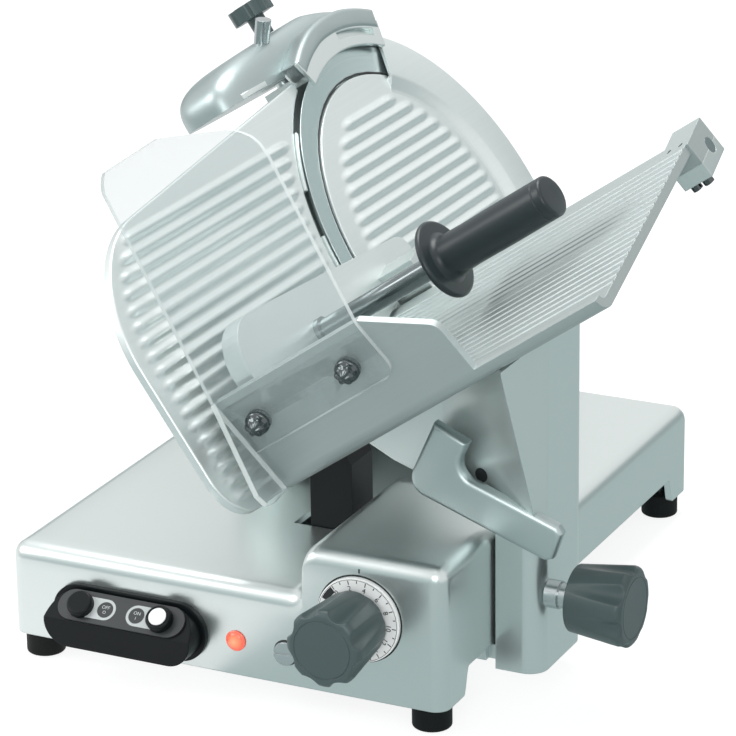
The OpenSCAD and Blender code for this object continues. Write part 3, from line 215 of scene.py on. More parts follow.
def stage_sheet(name, centre, across, along, material):
    """A flat rectangle round a point, spanned by two half sides, in metres."""
    c, a, b = (np.asarray(v, float) for v in (centre, across, along))
    mesh = bpy.data.meshes.new(name)
    mesh.from_pydata([tuple(c - a - b), tuple(c + a - b), tuple(c + a + b), tuple(c - a + b)],
                     [], [(0, 1, 2, 3)])
    sheet = bpy.data.objects.new(name, mesh)
    scene.collection.objects.link(sheet)
    mesh.materials.append(material)
    return sheet


white_floor = bpy.data.materials.new("white_floor")
tree = bare_tree(white_floor)
paint = new_node(tree, "ShaderNodeBsdfDiffuse", {"Color": (0.8, 0.8, 0.8, 1.0)})
shade = new_node(tree, "ShaderNodeBsdfDiffuse", {"Color": (FLOOR_TINT, FLOOR_TINT, FLOOR_TINT, 1.0)})
glow = new_node(tree, "ShaderNodeEmission", {"Strength": FLOOR_GLOW})
both = new_node(tree, "ShaderNodeAddShader", {0: shade.outputs[0], 1: glow.outputs[0]})
split_output(tree, "ShaderNodeOutputMaterial", paint, both)
stage_sheet("floor", (0, 0, -0.0005), (6, 0, 0), (0, 6, 0), white_floor)
print("world", world.name, "floor", white_floor.name)

# %% [markdown]
# Bare metal shows what stands around it, and in a white room it would look like paper. Grey
# flags beside and in front of the machine give it its darker sides, as a photographer would
# place them just out of the picture. Only mirror rays see them, so they cast no shadow.
# Three large soft boxes add the light with a direction.

# %% Flags and lamps
FLAG_RED, STEEP = 0.84, 0.95


def flag(name, grey, centre, across, along):
    """A grey sheet that only mirror rays see."""
    material = bpy.data.materials.new(name)
    tree = bare_tree(material)
    tone = new_node(tree, "ShaderNodeEmission", {"Color": (FLAG_RED * grey, grey, grey, 1.0)})
    new_node(tree, "ShaderNodeOutputMaterial", {0: tone.outputs[0]})
    sheet = stage_sheet(name, centre, across, along, material)
    sheet.visible_camera = False
    sheet.visible_diffuse = False
    sheet.visible_transmission = False
    sheet.visible_shadow = False


flag("mat_right", 0.60, (1.43, 1.25, 0.0005), (1.5, 0, 0), (0, 1.75, 0))
flag("mat_front", 0.56, (0, -1.76, 0.0005), (3.0, 0, 0), (0, 1.25, 0))
flag("flag_back", 0.44, (1.9, 2.6, 0.60), (1.3, -0.9, 0), (0, 0, 0.60))
flag("flag_left", 0.38, (-2.0, 2.0, 0.35), (0.75, 0.75, 0), (0, 0, 0.5))
flag("flag_front", 0.70, (0.4, -2.6, 0.3), (2.2, 0.4, 0), (0, 0, 0.8))


def lamp(name, at, aim, size, watts):
    """A square soft box that looks from one point to another."""
    data = bpy.data.lights.new(name, "AREA")
    data.shape = "SQUARE"
    data.size = size
    data.energy = watts
    box = bpy.data.objects.new(name, data)
    scene.collection.objects.link(box)
    z = unit(np.asarray(at, float) - np.asarray(aim, float))
    x = unit(np.cross(UP if abs(z[2]) < STEEP else BACK, z))
    turn = np.eye(4)
    turn[:3, 0], turn[:3, 1], turn[:3, 2], turn[:3, 3] = x, np.cross(z, x), z, at
    box.matrix_world = Matrix(turn.tolist())


lamp("overhead", (-0.3, 0.3, 2.2), (0, 0, 0.2), 1.3, 40)
lamp("left_box", (-1.9, -1.5, 1.5), (0, 0, 0.2), 1.2, 22)
lamp("front_fill", (0.9, -2.3, 1.2), (0, 0, 0.15), 1.2, 20)
print("lamps", len(bpy.data.lights))

# %% [markdown]
# Metal and plastic share a few effects: a fine grain, a moulded pebble, soft patches left
# by hands and cloths, lines drawn by a grinding belt, and rings left by a lathe. Image
# textures could give these, but they stretch and have no scale of their own. Noise in
# Object coordinates keeps its real size on every piece. Each effect is a node group, built
# once, that turns a place on the piece into a tone and a height, and a Mapping node in
# each material sets its direction.

# %% Shared effects


def effect_group(name):
    """A node group that starts with a Place and an Amount, for a Tone and a Height."""
    group = bpy.data.node_groups.new(name, "ShaderNodeTree")
    for socket, kind in (("Place", "NodeSocketVector"), ("Amount", "NodeSocketFloat")):
        group.interface.new_socket(socket, in_out="INPUT", socket_type=kind)
    for socket in ("Tone", "Height"):
        group.interface.new_socket(socket, in_out="OUTPUT", socket_type="NodeSocketFloat")
    return group, new_node(group, "NodeGroupInput").outputs


def close_group(group, begin, value):
    """Ends a group: Height is the value, and Tone is 1 + Amount * (2 * value - 1)."""
    double = new_node(group, "ShaderNodeMath", {0: value, 1: 2.0, 2: -1.0}, operation="MULTIPLY_ADD")
    tone = new_node(group, "ShaderNodeMath", {0: double.outputs[0], 1: begin["Amount"], 2: 1.0},
                    operation="MULTIPLY_ADD")
    new_node(group, "NodeGroupOutput", {"Tone": tone.outputs[0], "Height": value})
    return group


def speckle(name, scale, detail):
    """Noise at one scale: grain when fine, patches when coarse."""
    group, begin = effect_group(name)
    noise = new_node(group, "ShaderNodeTexNoise", {"Vector": begin["Place"], "Scale": scale,
                                                   "Detail": detail, "Roughness": 0.6})
    return close_group(group, begin, noise.outputs["Fac"])


def drawn_lines(name):
    """Noise that is long in x and short across it, at two scales, as brushed metal."""
    group, begin = effect_group(name)
    shares = []
    for stretch in ((9.0, 900.0, 900.0), (3.0, 260.0, 260.0)):
        squeeze = new_node(group, "ShaderNodeMapping", {"Vector": begin["Place"], "Scale": stretch})
        noise = new_node(group, "ShaderNodeTexNoise", {"Vector": squeeze.outputs[0], "Scale": 1.0,
                                                       "Detail": 2.0})
        shares.append(noise.outputs["Fac"])
    both = new_node(group, "ShaderNodeMath", {0: shares[0], 1: shares[1]}, operation="ADD")
    half = new_node(group, "ShaderNodeMath", {0: both.outputs[0], 1: 0.5}, operation="MULTIPLY")
    return close_group(group, begin, half.outputs[0])


def turned_lines(name):
    """Rings about the z axis of Place: noise over the radius alone, as a lathe leaves."""
    group, begin = effect_group(name)
    flat = new_node(group, "ShaderNodeVectorMath", {0: begin["Place"], 1: (1.0, 1.0, 0.0)},
                    operation="MULTIPLY")
    radius = new_node(group, "ShaderNodeVectorMath", {0: flat.outputs[0]}, operation="LENGTH")
    noise = new_node(group, "ShaderNodeTexNoise", {"W": radius.outputs["Value"], "Scale": 700.0,
                                                   "Detail": 3.0}, noise_dimensions="1D")
    return close_group(group, begin, noise.outputs["Fac"])


EFFECTS = {"grain": speckle("fine_grain", 1400.0, 3.0),
           "pebble": speckle("moulded_pebble", 520.0, 2.0),
           "patches": speckle("handling_patches", 9.0, 3.0),
           "lines": drawn_lines("drawn_lines"),
           "rings": turned_lines("turned_rings")}
print("effects", sorted(EFFECTS))

# %% [markdown]
# One recipe then makes each finish. A surface effect moves the colour and the height, and
# the patches move the roughness. Edges of the solids are sharp, and real ones are broken
# by a fraction of a millimetre. A Bevel modifier would have to change the solids, so a
# Bevel node rounds the look of their edges only.

# %% Finish recipe
BUMP_DEPTH, COAT_ROUGH = 0.001, 0.15


def finish(name, colour, rough, metallic=0.0, effect="grain", amount=0.05, bump=0.02,
           turn=(0, 0, 0), centre=(0, 0, 0), patch=0.12, coat=0.0, edge=0.0006, shine=0.5):
    """A Principled finish: tone and bump from one effect, roughness from the patches."""
    material = bpy.data.materials.new(name)
    material.use_nodes = True
    tree = material.node_tree
    place = new_node(tree, "ShaderNodeTexCoord").outputs["Object"]
    place = new_node(tree, "ShaderNodeMapping", {"Vector": place, "Location": centre, "Rotation": turn},
                     vector_type="TEXTURE").outputs[0]
    surface, patches = (new_node(tree, "ShaderNodeGroup", {"Place": place, "Amount": share},
                                 node_tree=EFFECTS[kind]).outputs
                        for kind, share in ((effect, amount), ("patches", patch)))
    tint = new_node(tree, "ShaderNodeVectorMath", {0: colour, "Scale": surface["Tone"]},
                    operation="SCALE")
    gloss = new_node(tree, "ShaderNodeMath", {0: patches["Tone"], 1: rough}, operation="MULTIPLY")
    normal = {}
    if edge:
        normal = {"Normal": new_node(tree, "ShaderNodeBevel", {"Radius": edge}, samples=4).outputs[0]}
    if bump:
        relief = {"Strength": bump, "Distance": BUMP_DEPTH, "Height": surface["Height"]}
        normal = {"Normal": new_node(tree, "ShaderNodeBump", relief | normal).outputs[0]}
    feed(tree, tree.nodes["Principled BSDF"], normal | {
        "Base Color": tint.outputs[0], "Roughness": gloss.outputs[0], "Metallic": metallic,
        "Specular IOR Level": shine, "Coat Weight": coat, "Coat Roughness": COAT_ROUGH})
    return material


def adjust(material, feeds):
    """Sets further inputs of a finish's shader."""
    feed(material.node_tree, material.node_tree.nodes["Principled BSDF"], feeds)


# %% [markdown]
# Cast and polished aluminium, drawn and ground steel, chrome, moulded plastic and rubber
# each get their own values. One shared metal with a stronger bump would save lines, but the
# metals here differ most in roughness. Colours are close to what the real pieces show in
# plain light.

# %% Finishes
BLADE_SPOT = tuple(from_blade(np.zeros(3)))
SATIN = (0.645, 0.70, 0.69)
BRIGHT = (0.70, 0.755, 0.745)
ACRYLIC_IOR = 1.49
cast_satin = finish("cast_satin", SATIN, 0.28, 0.92, "grain", 0.02, 0.0, patch=0.05, edge=0.0012)
soft_satin = finish("soft_satin", SATIN, 0.42, 0.92, "grain", 0.02, 0.0, patch=0.05)
grip_satin = finish("grip_satin", (0.47, 0.54, 0.54), 0.40, 0.92, "grain", 0.02, 0.0, patch=0.05)
cover_satin = finish("cover_satin", (0.38, 0.44, 0.44), 0.42, 0.92, "grain", 0.02, 0.0, patch=0.05)
cast_matt = finish("cast_matt", SATIN, 0.42, 0.80, "grain", 0.07, 0.04, patch=0.10)
drawn_plate = finish("drawn_plate", BRIGHT, 0.34, 0.72, "lines", 0.05, 0.02,
                     turn=(0, 0, math.pi / 2))
tray_plate = finish("tray_plate", (0.44, 0.49, 0.485), 0.50, 0.88, "lines", 0.05, 0.02,
                    turn=(0, -TILT, 0))
ground_blade = finish("ground_blade", (0.71, 0.80, 0.80), 0.24, 0.95, "rings", 0.06, 0.02,
                      turn=(0, math.pi / 2 - TILT, 0), centre=BLADE_SPOT)
turned_steel = finish("turned_steel", (0.50, 0.54, 0.55), 0.25, 0.95, "grain", 0.05, 0.01)
bright_chrome = finish("bright_chrome", (0.40, 0.435, 0.445), 0.13, 1.0, "grain", 0.03, 0.004)
screw_dark = finish("screw_dark", (0.11, 0.124, 0.127), 0.20, 1.0, "grain", 0.04, 0.004)
dark_chrome = finish("dark_chrome", (0.20, 0.225, 0.23), 0.16, 1.0, "grain", 0.04, 0.004)
grey_mould = finish("grey_mould", (0.055, 0.082, 0.083), 0.36, 0.0, "pebble", 0.05, 0.03,
                    shine=0.4)
dark_mould = finish("dark_mould", (0.022, 0.031, 0.034), 0.34, 0.0, "pebble", 0.05, 0.02,
                    shine=0.35)
black_mould = finish("black_mould", (0.005, 0.007, 0.008), 0.38, 0.0, "pebble", 0.10, 0.02,
                     edge=0.0016, shine=0.16)
key_grey = finish("key_grey", (0.024, 0.028, 0.030), 0.42, 0.0, "grain", 0.06, 0.02)
rubber_black = finish("rubber_black", (0.004, 0.005, 0.005), 0.62, 0.0, "pebble", 0.12, 0.06,
                      shine=0.2)
white_mould = finish("white_mould", (0.86, 0.88, 0.87), 0.30, 0.0, "pebble", 0.02, 0.01)
# Painted shade: the gauge arm is near black for the dark gap in which it stands, not for a black
# finish.
dark_cast = finish("dark_cast", (0.007, 0.009, 0.010), 0.45, 0.0, "grain", 0.15, 0.06, shine=0.2)
bronze = finish("bronze", (0.45, 0.30, 0.12), 0.32, 1.0, "grain", 0.06, 0.02)
motor_enamel = finish("motor_enamel", (0.05, 0.065, 0.09), 0.40, 0.0, "grain", 0.06, 0.03)
grey_stone = finish("grey_stone", (0.42, 0.24, 0.19), 0.85, 0.0, "pebble", 0.2, 0.3)
sheet_zinc = finish("sheet_zinc", (0.42, 0.45, 0.45), 0.42, 0.8, "patches", 0.15, 0.0)


def clear_finish(name, colour, rough, alpha):
    """Cast acrylic: thin enough to look straight through, with a few rubbed patches."""
    material = finish(name, colour, rough, 0.0, "grain", 0.01, 0.003, patch=0.4, edge=0.0)
    adjust(material, {"Alpha": alpha, "IOR": ACRYLIC_IOR})
    return material


clear_sheet = clear_finish("clear_sheet", (0.40, 0.48, 0.48), 0.05, 0.20)
lamp_lens = finish("lamp_lens", (0.85, 0.16, 0.09), 0.18, 0.0, "pebble", 0.25, 0.05, coat=0.5)
print("finishes", len(bpy.data.materials))

# %% [markdown]
# The carried-over solids are sorted by what they are made of, and each takes its finish
# on its own material slots. Nothing of their shape is touched, because other tools rely
# on it. The print at the end shows any that were forgotten.

# %% Dress the solids
DRESS = {
    cast_satin: ["base_casting", "carriage_post", "carriage_bracket", "sharpener_bracket",
                 "sharpener_cover", "carriage_handle", "rod_clamp", "pusher_arm"],
    cast_matt: ["blade_housing", "gear_cover", "motor_cover"],
    drawn_plate: ["gauge_plate", "blade_cover", "pusher_plate"],
    tray_plate: ["tray"],
    ground_blade: ["blade"],
    turned_steel: ["spindle", "spindle_bearings", "worm_shaft", "tie_rod", "lock_collar",
                   "knob_shaft", "follower_pin", "guide_bar", "panel_screws", "foot_screws",
                   "adjuster_plug", "pusher_slider"],
    bright_chrome: ["carriage_rod", "gauge_rod", "slide_rod", "stone_button", "blade_screws"],
    dark_chrome: ["pusher_shaft"],
    screw_dark: ["guard_screws", "clamp_screws"],
    grey_mould: ["thickness_knob", "lock_knob", "tie_knob", "sharpener_knob"],
    dark_mould: ["hand_disc", "pusher_handle"],
    black_mould: ["switch_gasket", "switch_body", "off_button", "on_button"],
    key_grey: ["switch_plate"],
    rubber_black: ["rubber_feet"],
    white_mould: ["dial_plate", "on_cap"],
    # painted shade: the gauge arm's near black stands for the dark gap around it
    dark_cast: ["gauge_arm"],
    bronze: ["worm_wheel", "carriage_bushes", "scroll_cam"],
    motor_enamel: ["motor"],
    grey_stone: ["sharpener_stones"],
    sheet_zinc: ["base_plate"],
    clear_sheet: ["clear_guard"],
    lamp_lens: ["indicator_lamp"],
}
dressed = set()
for material, names in DRESS.items():
    for name in names:
        mesh = nodes[name].data
        mesh.materials.clear()
        mesh.materials.append(material)
        dressed.add(name)
print("undressed", sorted(set(nodes) - dressed))

# %% [markdown]
# Castings and mouldings have soft edges and run-out curves that cut solids leave sharp.
# They could be modelled from boxes with Bevel and Subdivision Surface, but each edge would
# then have the same roundness. Here each piece is worked out as grids of points, a function
# of two parameters at a time, and skinned with quads. Where two grids share a rim their
# points are equal. Merging doubles then closes the shell, and a count of open edges proves it.

# %% Skins from grids
MERGE = 2e-6


def grid_quads(patch, start):
    """Four corners of every cell of a point grid, counted from a first index."""
    rows, columns = patch.shape[:2]
    index = start + np.arange(rows * columns).reshape(rows, columns)
    cells = [index[:-1, :-1], index[1:, :-1], index[1:, 1:], index[:-1, 1:]]
    return np.stack(cells, -1).reshape(-1, 4)


def seat(name, mesh, material, body, node=None):
    """An object for a finished mesh that rides on a body and may stand for a solid."""
    mesh.materials.append(material)
    piece = bpy.data.objects.new(name, mesh)
    scene.collection.objects.link(piece)
    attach(piece, body)
    if node:
        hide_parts(node)


def skin(name, patches, material, body, node=None, place=in_metres, sharp=35.0, caps=(), rims=None):
    """One mesh over point grids, carried by a place function, with equal points merged. Caps
    are flat loops that get one face each, and rims is a finish for the grids after the second."""
    patches = [place(patch) for patch in patches]
    caps = [place(cap) for cap in caps]
    sizes = [patch.shape[0] * patch.shape[1] for patch in patches] + [len(cap) for cap in caps]
    starts = np.concatenate([[0], np.cumsum(sizes)])
    quads = [grid_quads(patch, start) for patch, start in zip(patches, starts)]
    ends = starts[len(patches):]
    loops = [np.arange(a, b).tolist() for a, b in zip(ends[:-1], ends[1:])]
    points = np.concatenate([patch.reshape(-1, 3) for patch in patches] + caps)
    mesh = bpy.data.meshes.new(name)
    mesh.from_pydata(points.tolist(), [], np.concatenate(quads).tolist() + loops)
    if rims:
        faces = sum(len(part) for part in quads[:2])
        which = (np.arange(len(mesh.polygons)) >= faces).astype(np.int32)
        mesh.polygons.foreach_set("material_index", which)
    work = bmesh.new()
    work.from_mesh(mesh)
    bmesh.ops.remove_doubles(work, verts=work.verts, dist=MERGE)
    bmesh.ops.recalc_face_normals(work, faces=work.faces)
    open_edges = sum(len(edge.link_faces) != 2 for edge in work.edges)
    work.to_mesh(mesh)
    work.free()
    mesh.shade_smooth()
    mesh.set_sharp_from_angle(angle=math.radians(sharp))
    print(name, "faces", len(mesh.polygons), "open edges", open_edges)
    seat(name, mesh, material, body, node)
    if rims:
        mesh.materials.append(rims)


# %% [markdown]
# Most pieces come from a few kinds of grid: a plate between two faces, an arc, and a profile
# carried round an axis. Blender's Screw modifier does the last one too, but as arrays the
# points can still be bent, fluted or joined to another grid.

# %% Plates and profiles


def slab(face, back):
    """Grids of a closed plate: face, back and the strips between their four rims."""
    rims = [np.stack([face[0], back[0]]), np.stack([face[-1], back[-1]]),
            np.stack([face[:, 0], back[:, 0]], 1), np.stack([face[:, -1], back[:, -1]], 1)]
    return [face, back] + rims


def arc(cx, cy, r, start, end, steps):
    """Points on a circle between two angles in degrees."""
    a = np.radians(np.linspace(start, end, steps))
    return np.stack([cx + r * np.cos(a), cy + r * np.sin(a)], -1)


def carried(r, z, angle):
    """Radius and height carried through a column of angles about the z axis."""
    return np.stack([r * np.cos(angle), r * np.sin(angle), z + 0 * angle], -1)


def turned(profile, count=96):
    """Parts of a profile of (radius, height), joined and carried once round the z axis."""
    line = np.concatenate([np.atleast_2d(np.asarray(part, float)) for part in profile])
    return carried(*line.T, np.linspace(0.0, 2 * np.pi, count + 1)[:, None])


def eased_edge(way, r):
    """Drop of a rounded edge at some way in from the rim: r less the root of r squared less the
    square of what is left of r."""
    inside = np.clip(r - way, 0, r)
    return r - np.sqrt(r * r - inside * inside)


def smooth(value):
    """Zero to one with flat ends: the square of the value times three less twice the value."""
    value = np.clip(value, 0, 1)
    return value * value * (3 - 2 * value)


print("a soft step at each quarter", smooth(np.linspace(0, 1, 5)))

# %% [markdown]
# The base is one thin casting, soft at every edge: a low box whose right front part rises
# in an S to carry the thickness knob. A bevelled box would have the same roundness
# everywhere, and the S would be lost. So it starts from one line over the width: the low
# top, a hollow bend, the riser, a round bend and the high top.

# %% Base top line
BASE_W, BASE_D, BASE_LOW, BASE_TOP, WALL = 340.0, 454.0, 18.0, 87.0, 5.0
HOUSE_X, HOUSE_LEN, HOUSE_TOP, EDGE = 233.0, 170.0, 123.0, 11.0
SLOT_LEG, SLOT_RISE, SLOT_EASE, HOUSE_FALL = 33.0, 20.0, 8.0, 24.0
BENDS = np.radians(np.linspace(0, 90, 8))
DROPS = np.array([0.133, 0.266, 0.457, 0.7, 1.0])


def base_section(inset):
    """The top's line over x: flat, hollow bend, riser, round bend, flat."""
    low = np.array([EDGE, 30, 60, 90, 120, 145, 169, 185, 202, 219])
    high = np.array([256, 268, 286, 306, 320, BASE_W - EDGE])
    hollow = arc(HOUSE_X - EDGE, BASE_TOP + EDGE, EDGE + inset, -90, 0, 9)
    crest = arc(HOUSE_X + EDGE, HOUSE_TOP - EDGE, EDGE - inset, 180, 90, 9)
    return np.concatenate([np.stack([low, 0 * low + BASE_TOP - inset], -1), hollow, crest,
                           np.stack([high, 0 * high + HOUSE_TOP - inset], -1)])


print("points along the base's top", len(base_section(0.0)))

# %% [markdown]
# The shell's grid is the top's own rows and columns, with more lines round it that bend
# over the edge and run down the walls. A Bevel modifier does that on a plain box, but here
# the edge rises and falls with the S. Round a corner the lines of one level share a quarter
# circle. The inside is the same grid one wall further in.

# %% Base shell


def padded(values, levels):
    """A line of values with its ends repeated for the border levels."""
    return np.concatenate([np.full(levels, values[0]), values, np.full(levels, values[-1])])


def base_shell(inset, rows):
    """Points of the casting's outside, or of its inside one wall further in. A border level goes
    out by r sin(bend) and down by r (1 - cos(bend)), then a share of the way to the foot."""
    line = base_section(inset)
    r = EDGE - inset
    out = np.concatenate([r * np.sin(BENDS), np.full(len(DROPS), r)])
    drop = np.concatenate([r - r * np.cos(BENDS), np.full(len(DROPS), r)])
    share = np.concatenate([0 * BENDS, DROPS])
    last = len(out) - 1
    border = np.arange(1, last + 1)
    row_level = np.concatenate([border[::-1], 0 * rows.astype(int), border])[:, None]
    col_level = np.concatenate([border[::-1], 0 * line[:, 0].astype(int), border])[None]
    row_side = np.concatenate([0 * border - 1, 0 * rows, 0 * border + 1])[:, None]
    col_side = np.concatenate([0 * border - 1, 0 * line[:, 0], 0 * border + 1])[None]
    x, y = padded(line[:, 0], last)[None], padded(rows, last)[:, None]
    rise = padded(line[:, 1], last)[None] - (BASE_TOP - inset)
    level = np.maximum(row_level, col_level)
    part = np.maximum(level, 1)
    turn = np.where(row_level >= col_level, col_level / (2 * part), 1 - row_level / (2 * part))
    turn = turn * np.pi / 2
    edge = BASE_TOP - inset + rise * smooth((HOUSE_LEN - y) / HOUSE_FALL) - drop[level]
    opening = smooth((y - SLOT_LEG) / SLOT_EASE) * smooth((BASE_D - SLOT_LEG - y) / SLOT_EASE)
    floor = BASE_LOW + SLOT_RISE * opening * (col_side > 0) * (row_level == 0)
    z = edge + share[level] * (floor - edge)
    return np.stack([x + out[level] * col_side * np.sin(turn),
                     y + out[level] * row_side * np.cos(turn), z], -1)


base_rows = np.concatenate([[EDGE, 20, 28], np.linspace(33, 41, 7), [60, 80, 98, 115, 133, 146],
                            np.linspace(151, 170, 10), [190, 240, 300, 360],
                            np.linspace(413, 421, 7), [428, 436, BASE_D - EDGE]])
outside, inside = base_shell(0.0, base_rows), base_shell(WALL, base_rows)
print("base grid", outside.shape[:2])

# %% [markdown]
# Two openings let the gauge arm and the knob's shaft through the casting. They could be cut
# with a Boolean, but that breaks the even grid and its smooth shading. The grid has lines
# along them already, so the cells inside are left out, with walls between the two skins.

# %% Base openings
ARM_HOLE_Y, ARM_HOLE_X = (115, 151), (169, 219)
SHAFT_HOLE_LEVELS, SHAFT_HOLE_X = (2, 3), (268, 286)


def pieces_round(rows, columns, holes):
    """Index ranges that cover a grid but for its holes."""
    left = [(0, rows - 1, 0, columns - 1)]
    for a, b, c, d in holes:
        rest = []
        for r0, r1, c0, c1 in left:
            if b <= r0 or a >= r1 or d <= c0 or c >= c1:
                rest.append((r0, r1, c0, c1))
                continue
            parts = [(r0, a, c0, c1), (b, r1, c0, c1), (a, b, c0, c), (a, b, d, c1)]
            rest += [q for q in parts if q[1] > q[0] and q[3] > q[2]]
        left = rest
    return left


levels = len(BENDS) + len(DROPS) - 1
top_x = base_section(0.0)[:, 0]
arm_rows = levels + np.searchsorted(base_rows, ARM_HOLE_Y)
arm_columns = levels + np.searchsorted(top_x, ARM_HOLE_X)
shaft_columns = levels + np.searchsorted(top_x, SHAFT_HOLE_X)
openings = [(*arm_rows, *arm_columns), (*SHAFT_HOLE_LEVELS, *shaft_columns)]
patches = slab(outside, inside)[2:]
for a, b, c, d in pieces_round(*outside.shape[:2], openings):
    patches += [outside[a:b + 1, c:d + 1], inside[a:b + 1, c:d + 1]]
for a, b, c, d in openings:
    patches += slab(outside[a:b + 1, c:d + 1], inside[a:b + 1, c:d + 1])[2:]
skin("base_cast", patches, cast_satin, "frame", "base_casting", sharp=50)

# %% [markdown]
# The gauge plate is a flat casting with rows of swellings that let the food slide. Bars
# pushed into a plate would meet it in a sharp line, and a casting has none. So the height
# is a soft wave over the way to the nearest ridge line, and the ridges flow into each
# other and end in leaf-shaped tips. Rows of the grid run along them, and each row ends on
# the plate's outline.

# %% Gauge plate ridges and outline
RIDGE_W, RIDGE_H, RIDGE_STEP, RIDGE_FIRST = 5.5, 2.8, 11.0, 8.5
RIDGE_IN, RIDGE_OVER, GAUGE_EDGE, FAR_OFF = 8.0, 6.0, 1.6, 1e3
EDGE_STEPS = np.array([0, 0.15, 0.4, 0.8, 1.5])
GAUGE_FRONT, GAUGE_LOW, LOW_R, TOP_R, FALL = 431.0, 95.0, 34.0, 95.0, math.radians(5.4)
GAUGE_RIM, GAUGE_END, GAUGE_FACE, GAUGE_BACK = 153.5, 67.5, -3.0, -9.0
TOP_AT = np.array([TOP_R - GAUGE_FRONT, 120.0 - TOP_R / math.cos(FALL)])
TOP_TIP = TOP_AT + TOP_R * np.array([-math.sin(FALL), math.cos(FALL)])


def swell(across, along, half):
    """Wave round a straight line, (1 + cos(pi * way)) / 2 with the way in shares of its width:
    way from the line, from its middle, half length. Both ends taper over three widths."""
    end = np.maximum(0, np.abs(along) - (half - 3 * RIDGE_W)) / 3
    way = np.minimum(1, np.hypot(across, end) / RIDGE_W)
    return RIDGE_H * (0.5 + 0.5 * np.cos(np.pi * way))


def gauge_left(y):
    """Front outline: small corner, straight edge, large corner, then the sloping top."""
    low = LOW_R - GAUGE_FRONT - np.sqrt(np.maximum(0, LOW_R**2 - (y + GAUGE_LOW - LOW_R)**2))
    high = TOP_AT[0] - np.sqrt(np.maximum(0, TOP_R**2 - (y - TOP_AT[1])**2))
    slope = TOP_TIP[0] + (y - TOP_TIP[1]) / math.tan(FALL)
    upper = np.where(y < TOP_TIP[1], high, slope)
    return np.where(y < LOW_R - GAUGE_LOW, low, np.where(y < TOP_AT[1], -GAUGE_FRONT, upper))


def gauge_inset(x, y):
    """Way in from the outline: the least of the ways from its lines and its circles."""
    top = (TOP_TIP[1] + (x - TOP_TIP[0]) * math.tan(FALL) - y) * math.cos(FALL)
    ways = [top, x + GAUGE_FRONT, y + GAUGE_LOW, np.hypot(x, y) - GAUGE_RIM, -GAUGE_END - x]
    high = np.where((x < TOP_AT[0]) & (y > TOP_AT[1]),
                    TOP_R - np.hypot(x - TOP_AT[0], y - TOP_AT[1]), FAR_OFF)
    low = np.where((x < LOW_R - GAUGE_FRONT) & (y < LOW_R - GAUGE_LOW),
                   LOW_R - np.hypot(x + GAUGE_FRONT - LOW_R, y + GAUGE_LOW - LOW_R), FAR_OFF)
    return np.maximum(0, np.min(np.stack(ways + [high, low]), 0))


print("gauge plate's upper corner", np.round(TOP_TIP, 1))

# %% [markdown]
# The grid of the plate is then a matter of where its rows and columns lie. Evenly spaced
# columns would miss the rounded edge, so they start with steps of a fraction of a millimetre.

# %% Gauge plate grid
FULL_WIDTH = 60.0
gauge_peak = TOP_TIP[1] + (-GAUGE_END - TOP_TIP[0]) * math.tan(FALL)
row_y = np.concatenate([EDGE_STEPS[:-1] - GAUGE_LOW,
                        np.linspace(EDGE_STEPS[-1] - GAUGE_LOW, gauge_peak, 340)])
left = gauge_left(row_y)[:, None]
right = -np.maximum(np.sqrt(np.maximum(0, GAUGE_RIM**2 - row_y**2)), GAUGE_END)[:, None]
near = np.concatenate([EDGE_STEPS, [3, 5, 8, 10, 11.5, 13], np.arange(14, 23), [24, 28]])
near = near * np.minimum(1, (right - left) / FULL_WIDTH)
middle = np.linspace(0, 1, 32)[1:-1]
x = np.concatenate([left + near,
                    left + near[:, -1:] + (right - left - 2 * near[:, -1:]) * middle,
                    right - near[:, ::-1]], 1)
y = row_y[:, None] + 0 * x
ridge_y = RIDGE_STEP * np.arange(-8, 10)[:, None, None] + RIDGE_FIRST
ridge_from = np.where(ridge_y < TOP_AT[1], -GAUGE_FRONT, gauge_left(ridge_y)) + RIDGE_IN
ridge_to = -np.sqrt((GAUGE_RIM + RIDGE_OVER)**2 - ridge_y**2)
rise = swell(y - ridge_y, x - (ridge_from + ridge_to) / 2, (ridge_to - ridge_from) / 2).max(0)
face = np.stack([x, y, GAUGE_FACE - eased_edge(gauge_inset(x, y), GAUGE_EDGE) + rise], -1)
back = np.stack([x, y, GAUGE_BACK + 0 * x], -1)
skin("gauge_plate_cast", slab(face, back), drawn_plate, "gauge", "gauge_plate", from_blade)

# %% [markdown]
# The blade's cover is a disc with the same ridges and, on three sides of the blade, a
# guard that rises from it, reaches over the cutting edge and turns down behind it. Screw
# and Solidify modifiers could make the guard, but they would give one thickness all over.
# Here one profile, an outer line and an inner line with equal counts, is swept through its
# part of a turn, so its two ends close with a strip. The disc is a polar grid.

# %% Blade cover and guard
COVER_R, COVER_FACE, COVER_BACK, COVER_RIDGE_R = 126.5, -0.8, -5.0, 108.5
COVER_EDGE, COVER_UNDER, SLOPE_FROM, SLOPE_WAY = 0.5, -2.2, 112.0, 14.0
GUARD_R, GUARD_TOP, GUARD_UNDER, GUARD_SKIRT = 160.0, 4.0, 1.4, -16.0
GUARD_WALL, GUARD_ROUND, GUARD_FROM, GUARD_TO = 4.0, 3.0, -95.0, 65.6
RIDGE_SHIFT, UNDER_STEP = 0.84, 124.0
spoke = np.linspace(0, 2 * np.pi, 481)[:, None]
ring = np.concatenate([np.linspace(0, SLOPE_FROM, 116),
                       [114, 117, 120, 123, 124.5, 125.3, 125.9, 126.3, COVER_R]])
x, y = ring * np.cos(spoke), ring * np.sin(spoke)
ridge_y = (RIDGE_STEP * (np.arange(-9, 9) + RIDGE_SHIFT))[:, None, None]
rise = swell(y - ridge_y, x, np.sqrt(COVER_RIDGE_R**2 - ridge_y**2)).max(0)
z = COVER_FACE - eased_edge(COVER_R - ring, COVER_EDGE) + rise
disc = np.stack([x, y, z], -1)
rim = disc[:, -1] * [1, 1, 0] + [0, 0, COVER_BACK]
shell = [disc, np.stack([disc[:, -1], rim], 1), np.stack([rim, rim * [0, 0, 1]], 1)]
